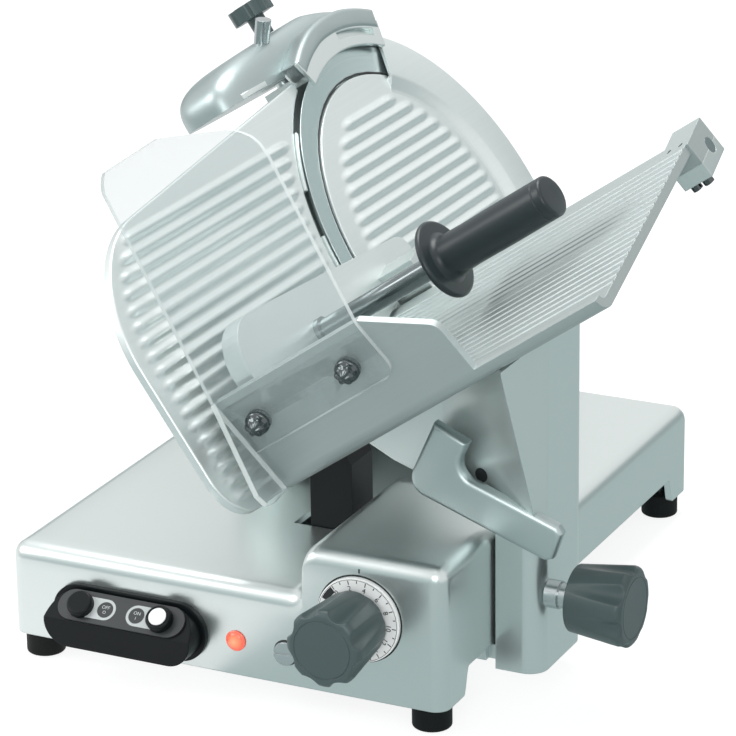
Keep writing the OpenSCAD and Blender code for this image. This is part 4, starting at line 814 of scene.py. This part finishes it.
ease = np.linspace(0, 1, 11)
slope = np.stack([SLOPE_FROM + SLOPE_WAY * ease,
                  COVER_FACE + (GUARD_TOP - COVER_FACE) * smooth(ease)], -1)
outer = np.concatenate([[[111, -1.4]], slope, [[140, GUARD_TOP]],
                        arc(GUARD_R - GUARD_ROUND, GUARD_TOP - GUARD_ROUND, GUARD_ROUND, 90, 0, 8),
                        [[GUARD_R, GUARD_SKIRT]]])
inner = np.stack([np.clip(outer[:, 0], 0, GUARD_R - GUARD_WALL),
                  np.where(outer[:, 0] < UNDER_STEP, COVER_UNDER, GUARD_UNDER)], -1)
inner[-1] = [GUARD_R - GUARD_WALL, GUARD_SKIRT]
sweep = np.radians(np.linspace(GUARD_FROM, GUARD_TO, 220))[:, None]
shell += slab(*(carried(*line.T, sweep) for line in (outer, inner)))
skin("blade_cover_cast", shell, drawn_plate, "frame", "blade_cover", from_blade)

# %% [markdown]
# The two large knobs are moulded in one shape: a cone that widens outwards, with round
# flutes that only bite where the cone is wide. Cylinders cut out of a cone with a Boolean
# would leave sharp lips. Here the radius is the softer lesser of the cone and the flute
# circle, as a function of turn and height, and a fine ring is let into the flat face.

# %% Fluted knobs
FOOT_ROUND, RIM_ROUND, RING_DEEP = 1.2, 5.0, 0.3
FLUTE_R, FLUTE_OUT, FLUTE_SOFT = 9.0, 0.55, 2.0


def flute_circle(angle, count, far, hollow):
    """Near side of the nearest flute's circle in polar form, far off between flutes."""
    step = 2 * np.pi / count
    off = (angle % step) - step / 2
    inside = hollow**2 - (far * np.sin(off))**2
    return np.where(inside > 0, far * np.cos(off) - np.sqrt(np.maximum(inside, 0)), FAR_OFF)


def softer_min(a, b, soft):
    """The lesser of two values, less a quarter of the band times the square of how near they are."""
    share = np.maximum(soft - np.abs(a - b), 0) / soft
    return np.minimum(a, b) - share**2 * soft / 4


def fluted_knob(r, length, taper, count, foot, at_z):
    """Grid over turn and profile of a widening knob: the lesser of its profile and its flutes."""
    tip, waist = at_z + length, r - taper - FOOT_ROUND
    cone = np.stack([np.linspace(r - taper, r, 14),
                     at_z + FOOT_ROUND + np.linspace(0, length - FOOT_ROUND - RIM_ROUND, 14)], -1)
    line = np.concatenate([np.asarray(foot, float), [[waist, at_z]],
                           arc(waist, at_z + FOOT_ROUND, FOOT_ROUND, -60, 0, 4), cone[1:],
                           arc(r - RIM_ROUND, tip - RIM_ROUND, RIM_ROUND, 8, 90, 10),
                           [[0.76 * r, tip], [0.755 * r, tip - RING_DEEP],
                            [0.735 * r, tip - RING_DEEP], [0.73 * r, tip], [0.4 * r, tip],
                            [0, tip]]])
    angle = np.linspace(0, 2 * np.pi, 36 * count + 1)[:, None]
    flute = flute_circle(angle, count, r + FLUTE_OUT * FLUTE_R, FLUTE_R)
    radius = np.maximum(0, np.minimum(line[:, 0], softer_min(line[:, 0], flute, FLUTE_SOFT)))
    return carried(radius, line[:, 1], angle)


grip = fluted_knob(r=28, length=50, taper=4, count=8, at_z=8,
                   foot=[[0, 4], [13.4, 4], [14, 4.6], [14, 8]])
skin("thickness_knob_moulded", [grip], grey_mould, "thickness_control", "thickness_knob",
     from_front(KNOB_AT))
grip = fluted_knob(r=29, length=44, taper=5, count=7, at_z=20.3,
                   foot=[[0, -22], [5, -22], [5, 20.3]])
skin("lock_knob_moulded", [grip], grey_mould, "lock", "lock_knob", from_side(LOCK_AT))

# %% [markdown]
# Printed marks are thin closed shapes that stand a tenth of a millimetre proud. They could be
# masks in a material, but fine print stays sharper as shapes, and the export keeps it.
# A tick is a small plate between two radii, and a ring is a flat rectangle carried round.

# %% Printed marks
# The same black paints shade too: the shadow ring round the dial and the inside of the stop hole.
INK, INK_ROOT = 0.12, 0.3


def flat_finish(name, colour, rough):
    """Print and painted shade: a fine grain, hardly any height and no rounded edges."""
    return finish(name, colour, rough, 0.0, "grain", 0.06, 0.01, edge=0.0)


ink_and_painted_shade = flat_finish("ink_and_painted_shade", (0.012, 0.014, 0.015), 0.45)
label_grey = flat_finish("label_grey", (0.47, 0.50, 0.50), 0.42)


def turned_flat(p, angle):
    """Flat points turned clockwise about their origin."""
    c, s = math.cos(angle), math.sin(angle)
    return np.stack([p[..., 0] * c + p[..., 1] * s, p[..., 1] * c - p[..., 0] * s, p[..., 2]], -1)


def plate_mark(x, y, low):
    """A thin plate over a grid of flat points."""
    face = np.stack([x, y, 0 * x + low + INK], -1)
    return slab(face, face - [0, 0, INK + INK_ROOT])


def bar_mark(half, y0, y1, low):
    """A thin straight bar that runs from y0 to y1."""
    x, y = np.meshgrid([-half, half], [y0, y1])
    return plate_mark(x, y, low)


def disc_mark(cx, cy, r, low, inner=0.0):
    """A thin disc or ring: a flat rectangle of radius and height carried once round."""
    line = [[inner, low - INK_ROOT], [r, low - INK_ROOT], [r, low + INK], [inner, low + INK]]
    return [turned([line + line[:1] if inner else line], 48) + [cx, cy, 0]]


def pill_mark(x0, x1, r, low):
    """A thin plate with two round ends: half height over the way along it."""
    turn = np.linspace(0, np.pi / 2, 13)
    ends = r * (1 - np.cos(turn))
    x = np.concatenate([x0 - r + ends, x1 + r - ends[::-1]])
    half = np.concatenate([r * np.sin(turn), r * np.sin(turn[::-1])])
    return plate_mark(np.stack([x, x]), np.stack([-half, half]), low)


print("print finishes", ink_and_painted_shade.name, label_grey.name)

# %% [markdown]
# Figures and words are Blender's own text. A text object could be turned into place, but a
# piece stays at the origin, so the text is made a mesh while still flat, and its points are
# carried by the same local frames as the rest.

# %% Figures and words


def lettering(name, items, place, material, body):
    """Text items (words, size, x, y, turn, height) as one mesh, carried by a place function."""
    work = bmesh.new()
    for words, size, cx, cy, turn, low in items:
        curve = bpy.data.curves.new("words", "FONT")
        curve.body = words
        curve.size = size
        curve.extrude = INK / 2
        curve.resolution_u = 3
        curve.align_x = "CENTER"
        curve.align_y = "CENTER"
        holder = bpy.data.objects.new("words", curve)
        mesh = bpy.data.meshes.new_from_object(holder)
        flat = np.empty(len(mesh.vertices) * 3)
        mesh.vertices.foreach_get("co", flat)
        spot = turned_flat(flat.reshape(-1, 3) + [0, 0, low], turn) + [cx, cy, 0]
        mesh.vertices.foreach_set("co", place(spot).ravel())
        work.from_mesh(mesh)
        bpy.data.objects.remove(holder)
        bpy.data.curves.remove(curve)
        bpy.data.meshes.remove(mesh)
    done = bpy.data.meshes.new(name)
    work.to_mesh(done)
    work.free()
    print(name, "faces", len(done.polygons))
    seat(name, done, material, body)


# %% [markdown]
# The thickness scale is a white disc that turns with its knob. It reads 0 to 15, with
# figures at the even numbers, spread over 200 degrees, and stands at 3 against the mark on
# the housing. An Array modifier could repeat one tick, but long and short ones alternate,
# so a loop over the numbers turns each into place.

# %% Thickness scale
DIAL_TOP, LAST_NUMBER, SPREAD, SET_AT = 4.0, 15, 200.0, 3
SCALE_STEP = math.radians(SPREAD / LAST_NUMBER)
TICK_R, TICK_HALF, TICK_LONG, TICK_SHORT = 29.3, 0.32, 3.0, 1.8
FIGURE_R, FIGURE_SIZE = 23.4, 5.4
BORDER_IN, BORDER_OUT, BORDER_SINK = 29.7, 30.0, 0.05
WEDGE_FROM, WEDGE_TO, WEDGE_IN = -1.12, -0.74, 24.5
POINTER_HALF, POINTER_IN, POINTER_OUT = 0.5, 33.5, 36.5
SHADOW_IN, SHADOW_OUT = 30.6, 32.2
on_dial = from_front(KNOB_AT)
ticks = []
figures = []
for number in range(LAST_NUMBER + 1):
    turn = (number - SET_AT) * SCALE_STEP
    even = number % 2 == 0
    bar = bar_mark(TICK_HALF, TICK_R - (TICK_LONG if even else TICK_SHORT), TICK_R, DIAL_TOP)
    ticks += [turned_flat(part, turn) for part in bar]
    if even:
        figures.append((str(number), FIGURE_SIZE, FIGURE_R * math.sin(turn),
                        FIGURE_R * math.cos(turn), turn, DIAL_TOP + INK / 2))
ticks += disc_mark(0, 0, BORDER_OUT, DIAL_TOP - BORDER_SINK, BORDER_IN)
wedge_turn, wedge_r = np.meshgrid(np.linspace(WEDGE_FROM, WEDGE_TO, 9), [WEDGE_IN, TICK_R])
ticks += plate_mark(wedge_r * np.sin(wedge_turn), wedge_r * np.cos(wedge_turn), DIAL_TOP)
skin("scale_ticks", ticks, ink_and_painted_shade, "thickness_control", place=on_dial)
lettering("scale_figures", figures, on_dial, ink_and_painted_shade, "thickness_control")
pointer = bar_mark(POINTER_HALF, POINTER_IN, POINTER_OUT, 0)
skin("scale_pointer", pointer, ink_and_painted_shade, "frame", place=on_dial)
# Painted shadow: a black ring on the housing round the dial, where the dial's shade falls.
shadow = disc_mark(0, 0, SHADOW_OUT, 0, SHADOW_IN)
skin("scale_shadow_ring", shadow, ink_and_painted_shade, "frame", place=on_dial)

# %% [markdown]
# A slotted plug beside the knob closes the hole through which the scale is set. The solid
# has its slot already. The fine gap round it is too thin to cut, so a dark ring stands in.

# %% Plug gap
PLUG_AT = np.array([220.0, 0.0, 42.0])
PLUG_R, PLUG_GAP_R = 8.3, 9.5
skin("plug_gap", disc_mark(0, 0, PLUG_GAP_R, 0, PLUG_R), ink_and_painted_shade, "frame", place=from_front(PLUG_AT))

# %% [markdown]
# The switch has two light pill-shaped labels that run in from the buttons, each with a
# dark disc and its word. One flat sheet with a mask could show them. Printed in layers,
# lighter below, they catch the light as real labels do, and they stand on the key plate.

# %% Switch labels
KEY_TOP, KEY_DEEP, KEY_HALF = 1.5, 19.0, 31.5
KEY_MID = KEY_DEEP / math.cos(KEY_SLOPE) / 2
PILL_R, DISC_R, DISC_X = 8.0, 6.0, 12.5
WORD_SIZE, WORD_UP, SIGN_SIZE, SIGN_DOWN = 3.6, 1.7, 3.4, 2.1
WORD_TOP = KEY_TOP + 2.5 * INK
pills = []
discs = []
words = []
for side, word, sign in ((-1, "OFF", "O"), (1, "ON", "I")):
    pill = pill_mark(DISC_X, KEY_HALF, PILL_R, KEY_TOP)
    pills += [part * [side, 1, 1] + [0, KEY_MID, 0] for part in pill]
    discs += disc_mark(side * DISC_X, KEY_MID, DISC_R, KEY_TOP + INK)
    words += [(word, WORD_SIZE, side * DISC_X, KEY_MID + WORD_UP, 0, WORD_TOP),
              (sign, SIGN_SIZE, side * DISC_X, KEY_MID - SIGN_DOWN, 0, WORD_TOP)]
skin("switch_label_pills", pills, label_grey, "frame", place=from_keys)
skin("switch_label_discs", discs, key_grey, "frame", place=from_keys)
lettering("switch_label_words", words, from_keys, label_grey, "frame")

# %% [markdown]
# The hand guard is one clear sheet with a soft fold: a flange on the tray's wall and a
# panel that leans back over the food. A Solidify modifier could thicken a bent sheet, but
# the cut edges of clear sheet look pale and need their own finish. So the middle line is a
# path whose direction swings smoothly at the fold, and the sheet is that path over its
# width, set off by half the thickness to each side, with strips along its rims.

# %% Clear hand guard
SHEET, SHEET_W, WALL_TOP, FLANGE, PANEL = 4.0, 132.0, 82.0, 44.0, 175.0
SHEET_LEAN, FOLD, CORNER_R, LIP_X = math.radians(23), 6.0, 10.0, -4.2
clear_edge = clear_finish("clear_edge", (0.74, 0.80, 0.79), 0.25, 0.72)
way = np.linspace(-FLANGE - 2, PANEL + 2, 900)
swing = SHEET_LEAN * smooth((way + FOLD) / (2 * FOLD))
step = way[1] - way[0]
path_x = np.cumsum(np.sin(swing)) * step
path_y = np.cumsum(np.cos(swing)) * step
path_x += -SHEET / 2 - np.interp(-FOLD, way, path_x)
path_y += WALL_TOP - FOLD - np.interp(-FOLD, way, path_y)
along = np.concatenate([[0, 1, 2.5, 5, 8], np.linspace(12, 118, 28),
                        SHEET_W - np.array([10, 7.5, 5, 3, 1.5, 0.5, 0])])
top = np.interp(along, [0, 3, 8, 59.4, 112, 120, 127, 130.5, SHEET_W],
                [163, 170, PANEL, PANEL, 154.5, 149.5, 142, 135, 125])
past = np.maximum(0, along - SHEET_W + CORNER_R)
low = CORNER_R - FLANGE - np.sqrt(np.maximum(0, CORNER_R**2 - past**2))
share = np.concatenate([np.linspace(0, 0.16, 6), np.linspace(0.17, 0.24, 16),
                        np.linspace(0.26, 1, 24)])[:, None]
reach = low + (top - low) * share


def sheet_side(offset):
    """The sheet's middle path set off along its normal, (-cos, sin) of its lean, over the width."""
    lean = np.interp(reach, way, swing)
    x = np.interp(reach, way, path_x) - offset * np.cos(lean)
    y = np.interp(reach, way, path_y) + offset * np.sin(lean)
    return np.stack([x, y, along + 0 * x], -1)


skin("clear_guard_sheet", slab(sheet_side(SHEET / 2), sheet_side(-SHEET / 2)), clear_sheet,
     "carriage", "clear_guard", from_tray, rims=clear_edge)
lip_y = np.array([6, 8, 11, 14, 18, 22, 30, 45, 60, 75, 84.0])
lip_left = np.interp(lip_y, [6, 8, 11, 14, 22, 82, 84], [-8, -24, -31, -33.5, -34.8, -5, LIP_X])
lip_x = np.stack([lip_left, np.full(len(lip_y), LIP_X)], 1)
lip = [np.stack([lip_x, lip_y[:, None] + 0 * lip_x, depth + 0 * lip_x], -1) for depth in (0.0, SHEET)]
skin("clear_guard_lip", slab(*lip), clear_sheet, "carriage", place=from_tray, rims=clear_edge)

# %% [markdown]
# Bars and plates with eased edges share one recipe. A Bevel modifier rounds a plate too,
# but at tight corners its faces run into each other. Here a closed outline is drawn flat,
# moved inwards along its corner directions by what the rounding takes off at each depth,
# and stacked from the back to the front. One flat face closes each end.

# %% Eased plates


def drawn_in(outline, inset):
    """A closed anticlockwise outline moved inwards along the bisectors of its corners."""
    after = np.roll(outline, -1, 0) - outline
    after /= np.linalg.norm(after, axis=1, keepdims=True)
    before = np.roll(after, 1, 0)
    normal = np.stack([-(after + before)[:, 1], (after + before)[:, 0]], -1)
    normal /= np.linalg.norm(normal, axis=1, keepdims=True)
    lean = np.sum(normal * np.stack([-after[:, 1], after[:, 0]], -1), 1, keepdims=True)
    return outline + inset * normal / np.maximum(lean, 0.5)


def eased_plate(outline, thick, r):
    """Grid and end loops of a plate with rounded edges on both faces, from depth 0 up: at a depth
    of r (1 - cos(a)) the outline is drawn in by r (1 - sin(a))."""
    a = np.linspace(0, np.pi / 2, 6)
    inset = np.concatenate([r - r * np.sin(a), (r - r * np.sin(a))[::-1]])
    depth = np.concatenate([r - r * np.cos(a), thick - (r - r * np.cos(a))[::-1]])
    rows = [np.concatenate([drawn_in(outline, i), np.full((len(outline), 1), d)], 1)
            for i, d in zip(inset, depth)]
    rows = np.stack([np.concatenate([row, row[:1]]) for row in rows])
    return rows, [rows[0, :-1], rows[-1, :-1]]


square = np.array([[0.0, 0.0], [9.0, 0.0], [9.0, 9.0], [0.0, 9.0]])
print("a square drawn in by one", np.round(drawn_in(square, 1.0), 3).tolist())

# %% [markdown]
# The carriage's grip is a flat cast bar, bent near one end. Two straight arms meet in a
# round outer corner and a tighter inner one, and the far end has its corners taken off. A
# curve with a bevel would give it a round section, so it is an eased plate.

# %% Carriage grip
GRIP_BEND = np.array([297.0, 157.3])
GRIP_FAR = np.array([392.6, 123.2])
GRIP_NEAR = np.array([313.4, 194.2])
GRIP_HALF, GRIP_INNER, GRIP_THICK, GRIP_EASE = 14.0, 13.0, 12.0, 4.0
GRIP_AT = np.array([0.0, 81.0, 0.0])
CUT_LONG, CUT_WIDE = 5.0, 4.0


def heading(v):
    """Angle of a flat vector in degrees."""
    return math.degrees(math.atan2(v[1], v[0]))


far, up = unit(GRIP_FAR - GRIP_BEND), unit(GRIP_NEAR - GRIP_BEND)
far_side, up_side = np.array([-far[1], far[0]]), np.array([up[1], -up[0]])
split = unit(far + up)
inner_at = GRIP_BEND + split * (GRIP_HALF + GRIP_INNER) / np.dot(split, far_side)
turn_from, turn_to = heading(-far_side), heading(-up_side)
swing = (turn_from - turn_to) % 360
wide, narrow, short = GRIP_HALF * far_side, (GRIP_HALF - CUT_WIDE) * far_side, CUT_LONG * far
grip_line = np.concatenate([
    arc(*GRIP_BEND, GRIP_HALF, turn_to, turn_to + swing, 14),
    [GRIP_FAR - wide - short, GRIP_FAR - narrow, GRIP_FAR + narrow, GRIP_FAR + wide - short],
    arc(*inner_at, GRIP_INNER, turn_from, turn_from - swing, 10),
    [GRIP_NEAR + GRIP_HALF * up_side, GRIP_NEAR - GRIP_HALF * up_side]])
grip, ends = eased_plate(grip_line, GRIP_THICK, GRIP_EASE)
skin("carriage_grip", [grip], grip_satin, "carriage", "carriage_handle", from_front(GRIP_AT),
     caps=ends)

# %% [markdown]
# The sharpener's cover is a smooth, boxy casting with a flat front and an even roof. A cube
# under Subdivision Surface would sag too far at the corners. Powers well below one on the
# sine and cosine fill the corners of a dome, and its height follows a slow line over the
# length. A thick arm, eased all round, reaches on over the blade.

# %% Sharpener cover
DOME_MID, DOME_HALF, DOME_WIDE, DOME_Z, DOME_FOOT = -25.0, 117.0, 33.0, -40.0, 152.5
PLAN_POWER, SIDE_POWER, ROOF_POWER = 0.5, 0.42, 0.62
ARM_WIDE, ARM_EASE, ARM_BACK = 19.0, 4.0, 10.0
ARM_FROM, ARM_TO, ARM_STEPS = 113.4, 66.0, 24


def power(value, exponent):
    """Sign-keeping power."""
    return np.sign(value) * np.abs(value)**exponent


turn, rise = np.meshgrid(np.linspace(0, 2 * np.pi, 181), np.linspace(0, np.pi / 2, 48))
draw_in = power(np.clip(np.cos(rise), 0, 1), SIDE_POWER)
plan_x = DOME_MID + DOME_HALF * power(np.cos(turn), PLAN_POWER) * draw_in
plan_z = DOME_Z + DOME_WIDE * power(np.sin(turn), PLAN_POWER) * draw_in
roof = np.interp(plan_x, [-160, -130, -65, 21, 63, 92], [29, 31.5, 34, 37, 32, 22])
dome = np.stack([plan_x, DOME_FOOT + roof * power(np.sin(rise), ROOF_POWER), plan_z], -1)
floor_ring = dome[0]
floor_mid = np.array([DOME_MID, DOME_FOOT, DOME_Z]) + 0 * floor_ring
skin("sharpener_cover_cast", [dome, np.stack([floor_ring, floor_mid])], cover_satin, "sharpener",
     "sharpener_cover", from_blade)
sweep_arm = np.radians(np.linspace(ARM_FROM, ARM_TO, ARM_STEPS))
share = np.linspace(0, 1, ARM_STEPS)
near_r = np.interp(share, [0, 0.35, 1], [157.5, 161.0, 162.5])
far_r = np.interp(share, [0, 0.3, 0.7, 1], [171.0, 176.0, 179.5, 180.5])
arm_turn = np.stack([np.cos(sweep_arm), np.sin(sweep_arm)], -1)
arm_line = np.concatenate([near_r[:, None] * arm_turn, (far_r[:, None] * arm_turn)[::-1]])
arm_grid, arm_ends = eased_plate(arm_line, ARM_WIDE, ARM_EASE)
skin("sharpener_arm", [arm_grid], cover_satin, "sharpener",
     place=lambda p: from_blade(p - [0, 0, ARM_BACK]), caps=arm_ends)

# %% [markdown]
# The pusher's grip and disc are turned shapes. The grip flares into the disc with a small
# cove, swells slightly in the middle and has a fine groove near its rounded end. A Screw
# modifier would do as well, but the same function as for the marks keeps it in one place.

# %% Pusher grip and disc
PUSH_AT = np.array([122.0, 50.0, 137.0])
disc_line = [[[0, 0], [24, 0]], arc(26.5, 2.5, 2.5, -90, 90, 12), [[24, 5], [20.5, 5.4], [0, 5.4]]]
cove = arc(21.3, 11, 6.0, 270, 180, 8)
grip_line = [[[0, 5], [20.5, 5]], cove,
             [[15.0, 30], [15.3, 60], [15.2, 92.6], [14.9, 92.9], [14.9, 93.5], [15.2, 93.8],
              [15.2, 98.5]],
             arc(12.7, 98.5, 2.5, 0, 90, 7), [[6, 101.2], [0, 101.2]]]
skin("pusher_disc_moulded", [turned(disc_line) + PUSH_AT], dark_mould, "pusher", "hand_disc",
     from_tray)
skin("pusher_grip_moulded", [turned(grip_line) + PUSH_AT], dark_mould, "pusher", "pusher_handle",
     from_tray)

# %% [markdown]
# The lamp is a small red lens, lit from behind: its glow is strongest in the middle. A lamp
# object behind a clear lens would be truer, but slow and noisy. So the glow comes from the
# way to the lens's axis, through a Mapping node set on its place.

# %% Indicator lamp
LAMP_AT = np.array([181.0, 0.0, 44.0])
GLOW, GLOW_OUT, GLOW_SIZE = 0.55, 3.0, (0.0065, 0.05, 0.0065)
bulge = np.linspace(1, 0, 12)
lens_line = [[[0, -8], [6.2, -8], [6.2, 0], [7.6, 0]], arc(6.8, 0.6, 0.8, -45, 90, 5),
             np.stack([6.2 * bulge, 1.4 + 2.0 * np.sqrt(1 - bulge**2)], -1)]
skin("lamp_lens_moulded", [turned(lens_line, 64)], lamp_lens, "frame", "indicator_lamp",
     from_front(LAMP_AT))
tree = lamp_lens.node_tree
place = new_node(tree, "ShaderNodeTexCoord").outputs["Object"]
centred = new_node(tree, "ShaderNodeMapping", {
    "Vector": place, "Location": tuple(in_metres(LAMP_AT - GLOW_OUT * BACK)), "Scale": GLOW_SIZE},
    vector_type="TEXTURE")
ball = new_node(tree, "ShaderNodeTexGradient", {"Vector": centred.outputs[0]},
                gradient_type="SPHERICAL")
glow_tone = new_node(tree, "ShaderNodeValToRGB", {"Fac": ball.outputs["Fac"]})
glow_tone.color_ramp.elements[0].color = (0.45, 0.035, 0.03, 1.0)
glow_tone.color_ramp.elements[1].color = (1.0, 0.52, 0.22, 1.0)
adjust(lamp_lens, {"Emission Color": glow_tone.outputs["Color"], "Emission Strength": GLOW})

# %% [markdown]
# Thumb screws hold the guard. Each head is turned with a flange and then milled to six
# soft lobes, deeper towards the tip, and a plain nut sits behind the tray's wall. Booleans
# would leave sharp cuts, so the lobes are a wave in the radius of a turned grid.

# %% Thumb screws
SCREW_AT, SCREW_SEAT = ((57.0, 21.0), (57.0, 104.0)), 4.0
LOBES, LOBE_BITE, LOBE_FROM, LOBE_WAY = 6, 0.22, 2.8, 4.0
head = turned([[[0, -4], [8.3, -4], [8.6, -3.6], [8.6, 1.8], [8.2, 2.4], [7.7, 2.8], [7.6, 4.5]],
               arc(2.2, 5.5, 5.3, -8, 62, 10), [[3.2, 11.3], [1.6, 12.0], [0, 12.2]]], 120)
angle = np.arctan2(head[..., 1], head[..., 0])
bite = np.clip((head[..., 2] - LOBE_FROM) / LOBE_WAY, 0, 1) * (0.5 - 0.5 * np.cos(LOBES * angle))
head[..., :2] *= (1 - LOBE_BITE * bite)[..., None]
nut = turned([[[0, -15], [5.5, -15], [6, -14.5], [6, -11], [3, -11], [3, -4], [0, -4]]], 48)
screws = [np.stack([-SCREW_SEAT - p[..., 2], up + p[..., 0], along + p[..., 1]], -1)
          for up, along in SCREW_AT for p in (head, nut)]
skin("guard_thumb_screws", screws, screw_dark, "carriage", "guard_screws", from_tray)

# %% [markdown]
# The carriage's post flares forward to carry the front of the tray. Its right side ends in
# a slanting edge, and a scoop runs from that edge back to the web. A sculpted sheet could
# follow it, but a formula keeps both its ends on the post: the depth is a square over the
# way across, times how far the edge stands forward at that height. A threaded hole in the
# scoop beside the grip is not cut: a black disc at its mouth is painted shade for its inside.

# %% Post flare and stop hole
WEB_FRONT, SCOOP_FROM, POST_SIDE, FLARE_BACK = 88.0, 300.0, 376.0, 4.0
EDGE_FOOT, EDGE_SLOPE, EDGE_LEAST, EDGE_MOST = 120.0, 0.466, 7.0, 74.0
TRAY_AT, TRAY_RISE, TRAY_HEIGHT = (219.7, 12.0), (0.70, 0.327), 155.0
NOTCH_X, NOTCH_TOP, NOTCH_SLOPE, NOTCH_WAY = 342.5, 136.5, 0.29, 9.5
HOLE_X, HOLE_Z, HOLE_R, HOLE_DEEP = 330.5, 161.5, 5.2, 2.0
EDGE_TOP, WEB_PROUD, MOUTH_PROUD = 255.0, 0.1, 0.25


def flare_front(x, z):
    """Front of the flare: the web's face less a square over x of the edge's reach."""
    reach = np.clip(EDGE_SLOPE * (z - EDGE_FOOT) + EDGE_LEAST, EDGE_LEAST, EDGE_MOST)
    across = np.clip((x - SCOOP_FROM) / (POST_SIDE - SCOOP_FROM), 0, 1)
    return WEB_FRONT - WEB_PROUD - reach * across**2


def under_tray(x, y):
    """Height of the tray's underside over a point, less a little: a plane over x and y."""
    return TRAY_HEIGHT + TRAY_RISE[0] * (x - TRAY_AT[0]) + TRAY_RISE[1] * (y - TRAY_AT[1])


columns = np.concatenate([np.linspace(SCOOP_FROM, 366, 30), np.linspace(367.5, POST_SIDE, 6)])
x, level = np.meshgrid(columns, np.linspace(0, 1, 40))
head = under_tray(x, flare_front(x, EDGE_TOP))
foot = np.where(x < NOTCH_X, NOTCH_TOP + NOTCH_SLOPE * (NOTCH_X - x),
                EDGE_FOOT + (NOTCH_TOP - EDGE_FOOT) * smooth((NOTCH_X + NOTCH_WAY - x) / NOTCH_WAY))
z = foot + (head - foot) * level
scoop = np.stack([x, flare_front(x, z), z], -1)
scoop_back = np.stack([x, 0 * x + WEB_FRONT + FLARE_BACK, z], -1)
skin("post_flare", slab(scoop, scoop_back), soft_satin, "carriage", sharp=50)
# Painted shade: a black disc in the scoop stands for the dark inside of the uncut hole.
angle, r = np.meshgrid(np.linspace(0, 2 * np.pi, 49), [0.0, 3.0, HOLE_R])
x, z = HOLE_X + r * np.cos(angle), HOLE_Z + r * np.sin(angle)
mouth = np.stack([x, flare_front(x, z) - MOUTH_PROUD, z], -1)
mouth = np.concatenate([mouth, mouth[-1:] + [0, HOLE_DEEP, 0], mouth[:1] + [0, HOLE_DEEP, 0]])
skin("stop_hole_painted_shade", [mouth], ink_and_painted_shade, "carriage")

# %% [markdown]
# Two thin rings show round the blade: a dark gap between the blade and its cover, and the
# rim of the casting behind the blade, which fills the slit to the gauge plate but for a
# short stretch where it is cut back. A torus would be round in section, so both are small
# rectangles carried round the blade's axis.

# %% Rings round the blade
GAP_IN, GAP_OUT, GAP_Z = 127.9, 129.3, -2.38
RIM_IN, RIM_OUT, RIM_LOW, RIM_TOP = 150.7, 153.2, -16.0, -1.6
RIM_PARTS = ((133, 152), (166, 264))
skin("cover_gap", disc_mark(0, 0, GAP_OUT, GAP_Z, GAP_IN), ink_and_painted_shade, "blade_rotor",
     place=from_blade)
rim_line = np.array([[RIM_IN, RIM_LOW], [RIM_IN, RIM_TOP], [RIM_OUT, RIM_TOP], [RIM_OUT, RIM_LOW],
                     [RIM_IN, RIM_LOW]])
for number, (begin, end) in enumerate(RIM_PARTS, 1):
    rim_turn = np.radians(np.linspace(begin, end, 2 * (end - begin)))[:, None]
    rim_grid = carried(*rim_line.T, rim_turn)
    skin(f"blade_rim_{number}", [rim_grid], drawn_plate, "frame", place=from_blade,
         caps=[rim_grid[0, :-1], rim_grid[-1, :-1]])
